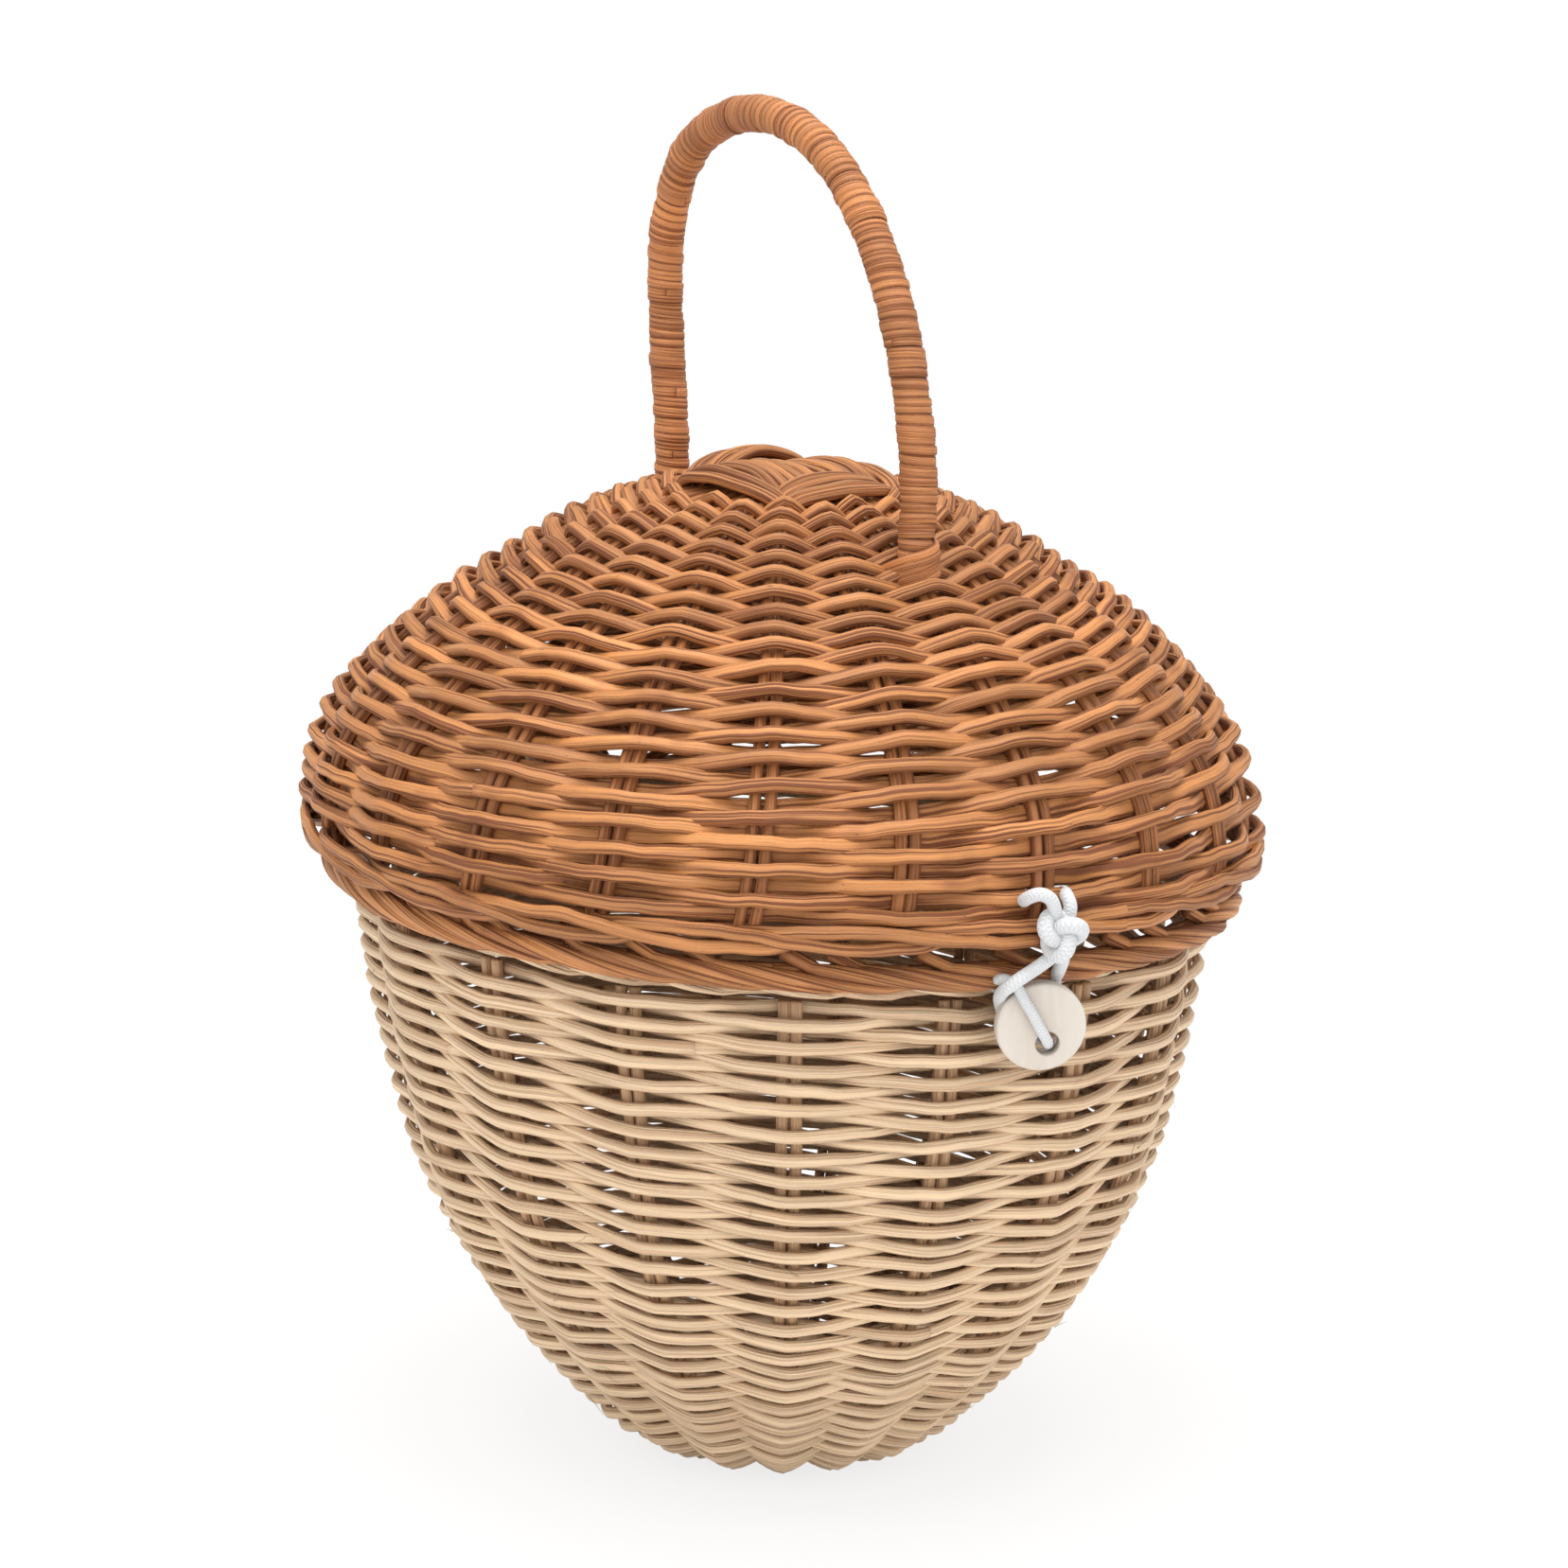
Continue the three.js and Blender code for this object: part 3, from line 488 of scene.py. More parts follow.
def cane_parts(run, seed):
    """Cuts a row into canes of a few turns each, so that each has its own tone."""
    random = np.random.default_rng(seed)
    ends = [0]
    while ends[-1] < len(run) - 1:
        ends.append(int(np.searchsorted(run, run[ends[-1]] + random.uniform(*CANE_LENGTHS))))
    ends[-1] = len(run) - 1
    if len(ends) > 2 and ends[-1] - ends[-2] < 40:
        ends.pop(-2)
    return [slice(a, b + 1) for a, b in zip(ends[:-1], ends[1:])]


def spiral_rows(canes, wall, on_lid, first_azimuth, s_from, s_to, span, fades, seed, partings=()):
    """Weaves part of a rising spiral of plain weave between two distances along a wall."""
    settings = bpy.context.scene.basket_weave
    outward = -1 if on_lid else 1
    stakes = LID_STAKES if on_lid else BODY_STAKES
    pitch = settings.lid_row_pitch if on_lid else settings.body_row_pitch
    turns = (s_to - s_from) / pitch
    around = [span[0] * turns * TURN]
    while around[-1] < span[1] * turns * TURN:
        reach = max(TIGHTEST_TURN, float(wall.radius_at(s_from + pitch * around[-1] / TURN)))
        around.append(around[-1] + min(settings.ring_step / reach, TURN / stakes / RINGS_PER_STAKE))
    around = np.array(around)
    azimuth = first_azimuth + around
    s = s_from + pitch * around / TURN
    radius = wall.radius_at(s)
    run = np.cumsum(np.concatenate([[0], np.diff(around)]) * radius)

    # out from the wall and in, with the hand's small errors
    wave = over_under(around / TURN * stakes)
    out = wave * np.where(wave * outward > 0, settings.outside_pass, settings.inside_pass)
    out += 0.16 * wobble(run / 31, seed)
    if on_lid:
        out -= lid_swell(s)

    # up and down the wall: the fall across the front, slow waves and gaps that cords pass through
    fade = np.ones_like(s)
    for start, reach, side in fades:
        fade *= np.clip((s - start) * side / reach, 0, 1)
    tilt = -math.tan(settings.row_tilt) * radius * np.cos(azimuth - VIEW_AZIMUTH)
    moved = s + outward * eased(fade) * (row_waves(azimuth, s, 11 if on_lid else 7) + tilt)
    moved += 0.17 * wobble(run / 27, seed + 1) + 0.12 * wobble(run / 13, seed + 2)
    for where, level in partings:
        beside = turned_by(azimuth, where) * radius / PARTING_REACH
        above = moved - level
        moved += PARTING * np.tanh(above / 0.7) * np.exp(-beside ** 2 - np.abs(above) / PARTING_REACH)

    # canes are drawn thinner where the stakes come together, and on the lid wider behind a stake
    tight = np.clip(TURN * radius / stakes / 12, 0.62, 1)
    width = settings.lid_cane_width if on_lid else settings.body_cane_width
    width = (width - 0.12 * (1 - np.abs(wave)) + 0.16 * wobble(run / 37, seed + 3)) * (0.85 + 0.15 * tight)
    if on_lid:
        width *= 1 + settings.inside_wider * (1 + 1.3 * far_share(azimuth)) * np.clip(0.5 + 0.6 * wave, 0, 1)
    width = np.minimum(width, pitch * (1.8 if on_lid else 1.3))
    thickness = settings.weaver_thickness * (1 + 0.07 * wobble(run / 29, seed + 4)) * (0.8 + 0.2 * tight)
    points, normal = wall.place(moved, azimuth, out, outward)
    if on_lid:
        points = drawn_to_centre(points)
    for part in cane_parts(run, seed + 5):
        canes.add(points[part], normal[part], width[part], thickness[part])


# Materials

class Wiring:
    """Adds nodes to a shader tree and links them."""

    def __init__(self, tree):
        self.tree = tree

    def node(self, kind, **values):
        made = self.tree.nodes.new(kind)
        for key, value in values.items():
            setattr(made, key, value)
        return made

    def feed(self, *pairs):
        """Gives each socket a plain value, or links it to the socket that comes with it."""
        for socket, value in pairs:
            if isinstance(value, (int, float, tuple)):
                socket.default_value = value
            else:
                self.tree.links.new(value, socket)

    def maths(self, operation, a, b=None):
        made = self.node("ShaderNodeMath", operation=operation)
        self.feed((made.inputs[0], a))
        if b is not None:
            self.feed((made.inputs[1], b))
        return made.outputs[0]

    def plus(self, a, b):
        return self.maths("ADD", a, b)

    def minus(self, a, b):
        return self.maths("SUBTRACT", a, b)

    def times(self, a, b):
        return self.maths("MULTIPLY", a, b)

    def mixed(self, factor, a, b, blend="MIX"):
        made = self.node("ShaderNodeMix", data_type="RGBA", blend_type=blend)
        self.feed((made.inputs[0], factor), (made.inputs[6], a), (made.inputs[7], b))
        return made.outputs[2]

    def ranged(self, value, low, high, new_low=0.0, new_high=1.0):
        made = self.node("ShaderNodeMapRange", clamp=True)
        for label, number in (("Value", value), ("From Min", low), ("From Max", high), ("To Min", new_low),
                              ("To Max", new_high)):
            self.feed((made.inputs[label], number))
        return made.outputs["Result"]

    def noise(self, vector, scale, detail, roughness, w=None):
        made = self.node("ShaderNodeTexNoise", noise_dimensions="3D" if w is None else "4D")
        self.feed((made.inputs["Scale"], scale), (made.inputs["Detail"], detail),
                  (made.inputs["Roughness"], roughness), (made.inputs["Vector"], vector))
        if w is not None:
            self.feed((made.inputs["W"], w))
        return made.outputs[0]

    def object_place(self):
        return self.node("ShaderNodeTexCoord").outputs["Object"]

    def cane_place(self):
        """How far along a cane and round its girth a point lies."""
        parts = self.node("ShaderNodeSeparateXYZ")
        self.feed((parts.inputs[0], self.node("ShaderNodeUVMap", uv_map="UVMap").outputs[0]))
        return parts.outputs[0], self.times(parts.outputs[1], TURN)

    def bump(self, shader, height, strength, distance):
        made = self.node("ShaderNodeBump")
        self.feed((made.inputs["Strength"], strength), (made.inputs["Distance"], distance),
                  (made.inputs["Height"], height), (shader.inputs["Normal"], made.outputs[0]))


# What the fibre group is given, and what it gives back
FIBRE_INPUTS = {
    "Colour": (0.7, 0.5, 0.3, 1.0), "Grooves": (0.4, 0.2, 0.1, 1.0), "Variation": 0.3, "Groove depth": 0.6,
    "Specks": 0.2, "Stain": 0.3, "Painted side shade": 0.5}
FIBRE_OUTPUTS = {"Colour": "NodeSocketColor", "Roughness": "NodeSocketFloat", "Height": "NodeSocketFloat"}
CREST_LIGHT = (1.0, 0.86, 0.66, 1.0)
SPECK_COLOUR = (0.05, 0.025, 0.015, 1.0)


def cane_fibre_group():
    """Fibres and grooves that run along a cane, with stains, specks and painted shade on its sides."""
    tree = bpy.data.node_groups.new("cane_fibre", "ShaderNodeTree")
    for label, value in FIBRE_INPUTS.items():
        kind = "NodeSocketColor" if isinstance(value, tuple) else "NodeSocketFloat"
        tree.interface.new_socket(name=label, in_out="INPUT", socket_type=kind).default_value = value
    for label, kind in FIBRE_OUTPUTS.items():
        tree.interface.new_socket(name=label, in_out="OUTPUT", socket_type=kind)
    w = Wiring(tree)
    given = w.node("NodeGroupInput").outputs
    result = w.node("NodeGroupOutput").inputs
    along, turn = w.cane_place()
    tone = w.node("ShaderNodeAttribute", attribute_name="tone").outputs["Fac"]
    seed = w.times(tone, 37.0)
    # the cane's girth becomes a circle, so that no seam shows
    round_x, round_y = w.maths("COSINE", turn), w.maths("SINE", turn)

    def streaks(stretch, scale, detail, shift):
        place = w.node("ShaderNodeCombineXYZ")
        w.feed((place.inputs[0], w.times(along, stretch)), (place.inputs[1], round_x),
               (place.inputs[2], round_y))
        return w.noise(place.outputs[0], scale, detail, 0.55, w.plus(seed, shift))

    grooves = streaks(7.0, 2.7, 1.0, 0.0)
    fine = streaks(12.0, 7.5, 2.0, 3.0)
    broad = streaks(16.0, 1.1, 1.0, 7.0)
    speck = w.ranged(streaks(150.0, 4.5, 1.0, 11.0), 0.72, 0.79)
    blotch = w.noise(w.object_place(), 42.0, 3.0, 0.6)
    cloud = w.noise(w.object_place(), 11.0, 1.0, 0.5)
    groove = w.ranged(grooves, 0.47, 0.37)
    crest = w.ranged(grooves, 0.5, 0.68)
    stain = w.ranged(w.plus(blotch, w.times(broad, 0.35)), 0.74, 0.9)
    # painted shade on the sides, where a cane lies against its neighbours and shade falls
    side = w.ranged(w.maths("ABSOLUTE", round_x), 0.80, 1.0)
    # brightness: each cane's own tone, slow clouds and the streaks along it
    shade = w.times(w.minus(tone, 0.5), 0.7)
    for source, share in ((blotch, 1.1), (cloud, 0.9), (broad, 1.3), (fine, 1.5)):
        shade = w.plus(shade, w.times(w.minus(source, 0.5), share))
    lifted = w.node("ShaderNodeVectorMath", operation="SCALE")
    w.feed((lifted.inputs[0], given["Colour"]),
           (lifted.inputs["Scale"], w.plus(1.0, w.times(shade, given["Variation"]))))
    surface = w.mixed(w.times(crest, 0.38), lifted.outputs[0], CREST_LIGHT, "SOFT_LIGHT")
    deep = given["Grooves"]
    # the side mask mixes the groove colour into a cane's sides: painted shade
    for mask, strength, over in ((groove, "Groove depth", deep), (stain, "Stain", deep),
                                 (side, "Painted side shade", deep), (speck, "Specks", SPECK_COLOUR)):
        surface = w.mixed(w.times(mask, given[strength]), surface, over)
    height = w.minus(w.plus(grooves, w.times(fine, 0.3)), w.times(groove, 0.18))
    w.feed((result["Colour"], surface), (result["Roughness"], w.ranged(grooves, 0.35, 0.65, 0.68, 0.44)),
           (result["Height"], w.minus(height, w.times(speck, 0.1))))


def new_material(name):
    material = bpy.data.materials.new(name)
    material.use_nodes = True
    material.node_tree.nodes.clear()
    w = Wiring(material.node_tree)
    shader = w.node("ShaderNodeBsdfPrincipled")
    out = w.node("ShaderNodeOutputMaterial")
    w.feed((out.inputs[0], shader.outputs[0]))
    return material, w, shader, out


def cane_material(name, surface, grooves, *strengths):
    material, w, shader, out = new_material(name)
    fibre = w.node("ShaderNodeGroup", node_tree=bpy.data.node_groups["cane_fibre"])
    for label, value in zip(FIBRE_INPUTS, ((*surface, 1.0), (*grooves, 1.0), *strengths)):
        w.feed((fibre.inputs[label], value))
    w.feed((shader.inputs["Base Color"], fibre.outputs["Colour"]),
           (shader.inputs["Roughness"], fibre.outputs["Roughness"]),
           (shader.inputs["Specular IOR Level"], 0.5))
    w.bump(shader, fibre.outputs["Height"], 0.8, 0.0009)


def elastic_material(name, surface):
    """A braided sleeve: two sets of fine ribs that cross, with painted shade in the troughs between them."""
    ribs_per_metre, strands = 1500, 4.0
    material, w, shader, out = new_material(name)
    along, turn = w.cane_place()
    along = w.times(along, TURN * ribs_per_metre)
    wound = w.times(turn, strands)
    one, other = w.maths("SINE", w.plus(along, wound)), w.maths("SINE", w.minus(along, wound))
    pick = w.ranged(w.maths("SINE", w.times(turn, 2 * strands)), -0.3, 0.3)
    rib = w.plus(w.times(one, pick), w.times(other, w.minus(1.0, pick)))
    fuzz = w.noise(w.object_place(), 900.0, 2.0, 0.6)
    height = w.plus(w.times(w.ranged(rib, -1.0, 1.0), 0.75), w.times(fuzz, 0.25))
    # the braid is painted darker where its ribs dip: painted shade in the troughs, with a little random fuzz
    dark = tuple(c * 0.85 for c in surface)
    w.feed((shader.inputs["Base Color"], w.mixed(w.ranged(height, 0.1, 0.6), (*dark, 1.0), (*surface, 1.0))),
           (shader.inputs["Roughness"], 0.75), (shader.inputs["Specular IOR Level"], 0.25),
           (shader.inputs["Sheen Weight"], 0.15), (shader.inputs["Sheen Roughness"], 0.5))
    w.bump(shader, height, 0.5, 0.0003)


def button_material(name, surface):
    """Pale turned wood with faint grain."""
    material, w, shader, out = new_material(name)
    place = w.object_place()
    stretch = w.node("ShaderNodeMapping")
    w.feed((stretch.inputs["Scale"], (1.0, 1.0, 0.16)),
           (stretch.inputs["Rotation"], (0.0, math.radians(24), 0.0)), (stretch.inputs["Vector"], place))
    grain = w.noise(stretch.outputs[0], 640.0, 4.0, 0.6)
    wide = w.noise(stretch.outputs[0], 130.0, 2.0, 0.5)
    cloud = w.noise(place, 60.0, 2.0, 0.5)
    light = (*(c * 1.07 for c in surface), 1.0)
    dark = (*(c * v for c, v in zip(surface, (0.86, 0.82, 0.77))), 1.0)
    base = w.mixed(w.ranged(wide, 0.35, 0.7), dark, (*surface, 1.0))
    base = w.mixed(w.times(w.ranged(grain, 0.5, 0.72), 0.5), base, light)
    base = w.mixed(w.times(w.ranged(cloud, 0.35, 0.7), 0.18), base, light)
    w.feed((shader.inputs["Base Color"], base),
           (shader.inputs["Roughness"], w.ranged(grain, 0.3, 0.7, 0.5, 0.66)),
           (shader.inputs["Specular IOR Level"], 0.4))
    w.bump(shader, w.plus(grain, w.times(wide, 0.6)), 0.22, 0.0003)


def materials():
    """The basket's materials, made once."""
    if "cane_fibre" not in bpy.data.node_groups:
        cane_fibre_group()
        colours = bpy.context.scene.basket_colours
        natural, brown, handle = tuple(colours.natural), tuple(colours.brown), tuple(colours.handle)
        natural_deep, brown_deep = tuple(colours.natural_deep), tuple(colours.brown_deep)
        natural_stake = tuple(c * v for c, v in zip(natural, (0.82, 0.72, 0.64)))
        brown_stake = tuple(c * v for c, v in zip(brown, (0.88, 0.82, 0.8)))
        # the last strength of each cane is the painted shade on its sides
        cane_material("natural_weave", natural, natural_deep, 0.16, 0.42, 0.2, 0.2, 0.22)
        cane_material("natural_stake", natural_stake, natural_deep, 0.2, 0.4, 0.3, 0.3, 0.35)
        cane_material("brown_weave", brown, brown_deep, 0.5, 1.0, 0.8, 0.7, 0.55)
        cane_material("brown_stake", brown_stake, brown_deep, 0.4, 0.6, 0.5, 0.6, 0.6)
        cane_material("handle_split", handle, tuple(colours.handle_deep), 0.5, 0.85, 0.5, 0.6, 0.8)
        elastic_material("braided_elastic", tuple(colours.elastic))
        button_material("turned_wood", tuple(colours.button))
    return bpy.data.materials


# Pieces

CROWN_START = 23.5
LID_STAKES_END = 14.0
BASE_START = 13.0
BODY_BANDS = 5
# Where the lid's spiral is shared out among its three weavers and the rounds next to the crown
LID_BANDS = (0, 0.24, 0.48, 0.72, 1)
# The height at which each cord passes through the wall, and the azimuths at which the button's cord does
ELASTIC_Z = 145.25
BUTTON_CORD_Z = 125.3
BUTTON_CORD_HOLES = (FRONT - 0.139, FRONT - 0.034)


class BASKET_OT_body_rows(bpy.types.Operator):
    """Weaves the body's rows of cane, in five bands that stand for the five weavers"""
    bl_idname = "basket.body_rows"
    bl_label = "Weave the body's rows"

    def execute(self, context):
        wall = body_wall()
        pitch = context.scene.basket_weave.body_row_pitch
        top = wall.distance_at(BODY_BORDER_Z - BODY_BORDER_TUBE - 1.4)
        cord_at = wall.distance_at(BUTTON_CORD_Z)
        # the spiral starts at the back, so that the cord comes through between two rows at the front
        rows_to_cord = (cord_at - BASE_START) / pitch + 0.5
        start = BASE_START + (rows_to_cord - math.floor(rows_to_cord) - 0.5) * pitch
        fades = ((BASE_START + 22, 16, 1), (top + 1.0, 26, -1))
        partings = [(azimuth, cord_at) for azimuth in BUTTON_CORD_HOLES]
        for i in range(BODY_BANDS):
            canes = Canes(seed=20 + i)
            span = (i / BODY_BANDS, (i + 1) / BODY_BANDS)
            spiral_rows(canes, wall, False, BACK, start, top, span, fades, 100, partings)
            canes.build(f"body_rows_{i + 1:02d}", "natural_weave", "basket",
                        [f"body_weaver_{i + 1:02d}"])
        return {"FINISHED"}


class BASKET_OT_body_stakes(bpy.types.Operator):
    """Stands the body's stakes, each of two canes, from the base up to the border"""
    bl_idname = "basket.body_stakes"
    bl_label = "Stand the body's stakes"

    def execute(self, context):
        stake_width = context.scene.basket_weave.stake_width
        wall = body_wall()
        canes = Canes(seed=40)
        random = np.random.default_rng(41)
        top = wall.length - 0.6
        s = np.append(np.arange(5.0, top, 3.0), top)
        radius = wall.radius_at(s)
        gap = np.minimum(stake_width / 2 + 0.08, radius * math.pi / BODY_STAKES / 2)
        for i in range(BODY_STAKES):
            for side in (-1, 1):
                lean = 0.25 * wobble(s / 45, 300 + i * 2 + side)
                azimuth = BACK + i / BODY_STAKES * TURN + (side * gap + lean) / np.maximum(radius, 3)
                points, normal = wall.place(s, azimuth, 0.1 * wobble(s / 30, 400 + i), 1)
                width = np.minimum(stake_width, 2 * gap * 1.02) * random.uniform(0.94, 1.04)
                canes.add(points, normal, width, np.minimum(width, 2.3), power=2.1)
        canes.build("body_stake_canes", "natural_stake", "basket",
                    numbered("body_stake", BODY_STAKES))
        return {"FINISHED"}


class BASKET_OT_base(bpy.types.Operator):
    """Crosses the canes in the middle of the base"""
    bl_idname = "basket.base"
    bl_label = "Cross the base's canes"

    def execute(self, context):
        canes = Canes(seed=50)
        half_length, bundle_shift, spacing, height = 19, 5.2, 2.5, 3.75
        u = np.linspace(-half_length, half_length, 20)
        for bundle in range(4):
            turned = bundle >= 2
            way = -1 if bundle % 2 == 0 else 1
            over = way if turned else -way
            rise = 1.15 * over * np.sin(math.pi * u / 10.4) * np.exp(-(u / 14) ** 4)
            for j in range(4):
                beside = way * bundle_shift + (j - 1.5) * spacing + way * 0.010 * u ** 2
                x, y = (beside, u) if turned else (u, beside)
                canes.add(np.stack([x, y, height + rise], axis=1), (0, 0, -1), 2.5, 2.0)
        canes.build("base_cross", "natural_stake", "basket", ["base"])
        return {"FINISHED"}


# A border cane's turn about the border's ring, in degrees: under it outside, and on to its end inside
UNDER_RIM = -92
END_INSIDE = -220
OUTSIDE_RINGS = 16
INSIDE_RINGS = 14
# How far in and up the three canes lie round which a border is rolled
BORDER_FILLING = ((-1.3, 0.6), (0.2, -1.1), (-0.2, 1.3))


def rolled_border(canes, ring_radius, height, tube, count, cane, reach, seed, first, lead=0.0, wider=0.0):
    """A border of canes that each come down outside, turn under the rim and end inside it."""
    random = np.random.default_rng(seed)
    step = TURN / count
    outside, inside = np.linspace(0, 1, OUTSIDE_RINGS), np.linspace(0, 1, INSIDE_RINGS + 1)[1:]
    for i in range(count):
        start = i * step + random.uniform(-0.22, 0.22) * step
        azimuth = start + np.concatenate([outside * reach[0], reach[0] + inside * reach[1]]) / ring_radius
        begin = random.uniform(*first)
        roll = np.radians(np.concatenate([
            begin + (UNDER_RIM - begin) * outside ** 0.92, UNDER_RIM + (END_INSIDE - UNDER_RIM) * inside]))
        bulge = 0.35 * np.sin(np.linspace(0, math.pi, len(roll))) * random.uniform(0.2, 1.2)
        shingle = np.concatenate([np.linspace(-0.9, 0.45, OUTSIDE_RINGS), -inside])
        off_ring = tube - cane / 2 + bulge + shingle
        radius = ring_radius + off_ring * np.cos(roll)
        z = height + off_ring * np.sin(roll)
        if lead:
            # the cane comes down from the wall as the end of a stake
            ahead = np.linspace(1, 0.2, 4)
            azimuth = np.concatenate([start - ahead * 7.0 / ring_radius, azimuth])
            radius = np.concatenate([radius[0] - ahead * 1.2, radius])
            z = np.concatenate([z[0] + ahead * lead, z])
            roll = np.concatenate([np.full(4, roll[0] * 0.5), roll])
        # a wider border draws in at the back, where the hinge ties go round it
        share = 1 - np.exp(-(turned_by(azimuth, BACK) / 0.3) ** 2)
        points = round_axis(radius + wider * share, azimuth, z + 0.75 * wider * share)
        width = cane * random.uniform(0.94, 1.1)
        canes.add(points, round_axis(np.cos(roll), azimuth, np.sin(roll)), width, width * 0.86)
    azimuth = np.linspace(0, TURN, 220, endpoint=False)
    for lane, (inward, up) in enumerate(BORDER_FILLING):
        radius = ring_radius + inward * tube / 3.2 + 0.2 * np.sin(5 * azimuth + lane)
        z = height + up * tube / 3.2 + 0.2 * np.sin(7 * azimuth + 2 * lane)
        canes.add(round_axis(radius, azimuth, z), round_axis(1, azimuth, 0), cane * 0.9, cane * 0.9, sides=6,
                  closed=True)


class BASKET_OT_body_border(bpy.types.Operator):
    """Rolls the body's border along its rim"""
    bl_idname = "basket.body_border"
    bl_label = "Roll the body's border"

    def execute(self, context):
        canes = Canes(seed=60)
        rolled_border(canes, BODY_BORDER_RADIUS, BODY_BORDER_Z, BODY_BORDER_TUBE - 0.15, count=34, cane=2.3,
                      reach=(30, 45), seed=61, first=(96, 112))
        canes.build("body_border_canes", "natural_weave", "basket", ["body_border"])
        return {"FINISHED"}


class BASKET_OT_lid_border(bpy.types.Operator):
    """Rolls the lid's border along its edge"""
    bl_idname = "basket.lid_border"
    bl_label = "Roll the lid's border"

    def execute(self, context):
        canes = Canes(seed=70)
        rolled_border(canes, LID_BORDER_RADIUS, LID_BORDER_Z, LID_BORDER_TUBE + 0.35, count=42, cane=2.9,
                      reach=(33, 48), seed=71, first=(52, 64), lead=3.4, wider=1.6)
        canes.build("lid_border_canes", "brown_weave", "lid", ["lid_border"])
        return {"FINISHED"}


class BASKET_OT_lid_rim(bpy.types.Operator):
    """Lays the rim's three long canes, each over two stakes and behind the third"""
    bl_idname = "basket.lid_rim"
    bl_label = "Lay the lid's rim canes"

    def execute(self, context):
        settings = context.scene.basket_weave
        wall = lid_wall()
        canes = Canes(seed=80)
        stake = TURN / LID_STAKES
        around = np.linspace(0, TURN, 420, endpoint=False)
        azimuth = FRONT + stake / 2 + around
        far = far_share(azimuth) ** 2
        # the rim falls across the front a little, and at the back it lies down on the border
        level = wall.distance_at(LID_BORDER_Z + 9.8) + 0.3 * np.sin(2 * around + 1.0) - 0.7 * far
        level += math.tan(math.radians(0.8)) * LID_BORDER_RADIUS * np.cos(azimuth - VIEW_AZIMUTH)
        outside = settings.outside_pass + LID_SWELL - 0.3
        for lane in range(3):
            k = np.mod(around / stake - lane, 3)
            inside = np.exp(-(np.minimum(k, 3 - k) / 0.42) ** 2)
            out = outside - (settings.outside_pass + settings.inside_pass) * inside
            climb = np.interp(k, [0, 0.7, 1.2, 2.0, 2.5, 3], [0.2, 1.6, 1.45, -1.25, -1.5, 0.2])
            s = level + climb + 0.2 * wobble(around * 6, 81 + lane)
            points, normal = wall.place(s, azimuth, -out - 0.12 * wobble(around * 8, 90 + lane), -1)
            width = 2.9 + 0.2 * wobble(around * 7, 95 + lane) + 0.9 * far
            canes.add(points, normal, width, 2.3, closed=True)
        canes.build("lid_rim_canes", "brown_weave", "lid", ["lid_rim_weaver"])
        return {"FINISHED"}


class BASKET_OT_lid_rows(bpy.types.Operator):
    """Weaves the lid's rows of cane from the rim to the crown, in four bands"""
    bl_idname = "basket.lid_rows"
    bl_label = "Weave the lid's rows"

    def execute(self, context):
        wall = lid_wall()
        start = wall.distance_at(ELASTIC_Z)
        end = wall.length - CROWN_START
        seam = FRONT + (LID_STAKES // 2 + 1) * TURN / LID_STAKES
        fades = ((start + 2, 14, 1), (end - 36, 26, -1))
        for i, span in enumerate(zip(LID_BANDS[:-1], LID_BANDS[1:])):
            canes = Canes(seed=110 + i)
            spiral_rows(canes, wall, True, seam, start, end, span, fades, 200)
            replaced = [f"lid_weaver_{i + 1:02d}"] if i < 3 else []
            canes.build(f"lid_rows_{i + 1:02d}", "brown_weave", "lid", replaced)
        return {"FINISHED"}


class BASKET_OT_lid_stakes(bpy.types.Operator):
    """Runs the lid's stakes, each of two canes, from the border up to the crown"""
    bl_idname = "basket.lid_stakes"
    bl_label = "Run the lid's stakes"

    def execute(self, context):
        stake_width = context.scene.basket_weave.stake_width
        wall = lid_wall()
        canes = Canes(seed=120)
        random = np.random.default_rng(121)
        top = wall.length - LID_STAKES_END
        s = np.append(np.arange(4.6, top, 2.6), top)
        radius = wall.radius_at(s)
        gap = np.minimum(stake_width / 2 + 0.1, radius * math.pi / LID_STAKES / 2)
        # near the border the stakes sweep aside and come out, to be rolled into it
        sweep = -4.5 * np.exp(-s / 9.0) - 3.6 * np.exp(-s / 30.0)
        out = 1.8 * np.exp(-s / 6.0) - lid_swell(s) + 0.35
        for i in range(LID_STAKES):
            for side in (-1, 1):
                lean = 0.3 * wobble(s / 45, 500 + i * 2 + side)
                azimuth = FRONT + i / LID_STAKES * TURN + (side * gap + lean + sweep) / radius
                points, normal = wall.place(s, azimuth, out + 0.1 * wobble(s / 30, 600 + i), -1)
                width = np.minimum(stake_width, 2 * gap * 1.02) * random.uniform(0.95, 1.05)
                canes.add(drawn_to_centre(points), normal, width, np.minimum(width, 2.4), power=2.1)
        canes.build("lid_stake_canes", "brown_stake", "lid", numbered("lid_stake", LID_STAKES))
        return {"FINISHED"}


# The crown's four bundles from the back right one onwards: how many canes each has and how high it arches
BUNDLES = ((7, 3.4), (4, 5.0), (7, 4.4), (4, 2.9))
# How far along an arch its line passes, and how high, as shares of its half width and its height
OUTER_ARCH = ((-1.04, -0.5), (-0.97, 0.2), (-0.82, 0.62), (-0.5, 0.9), (-0.15, 1.0), (0.3, 0.86),
              (0.65, 0.5), (0.9, 0.04), (1.04, -0.35))
INNER_ARCH = ((-1.0, -0.1), (-0.72, 0.5), (-0.35, 0.9), (0.0, 1.0), (0.4, 0.86), (0.72, 0.5), (1.0, -0.05))
BUNDLE_TURN = math.radians(12)
CROSS_CANES = 9
CROSS_SPACING = 3.0


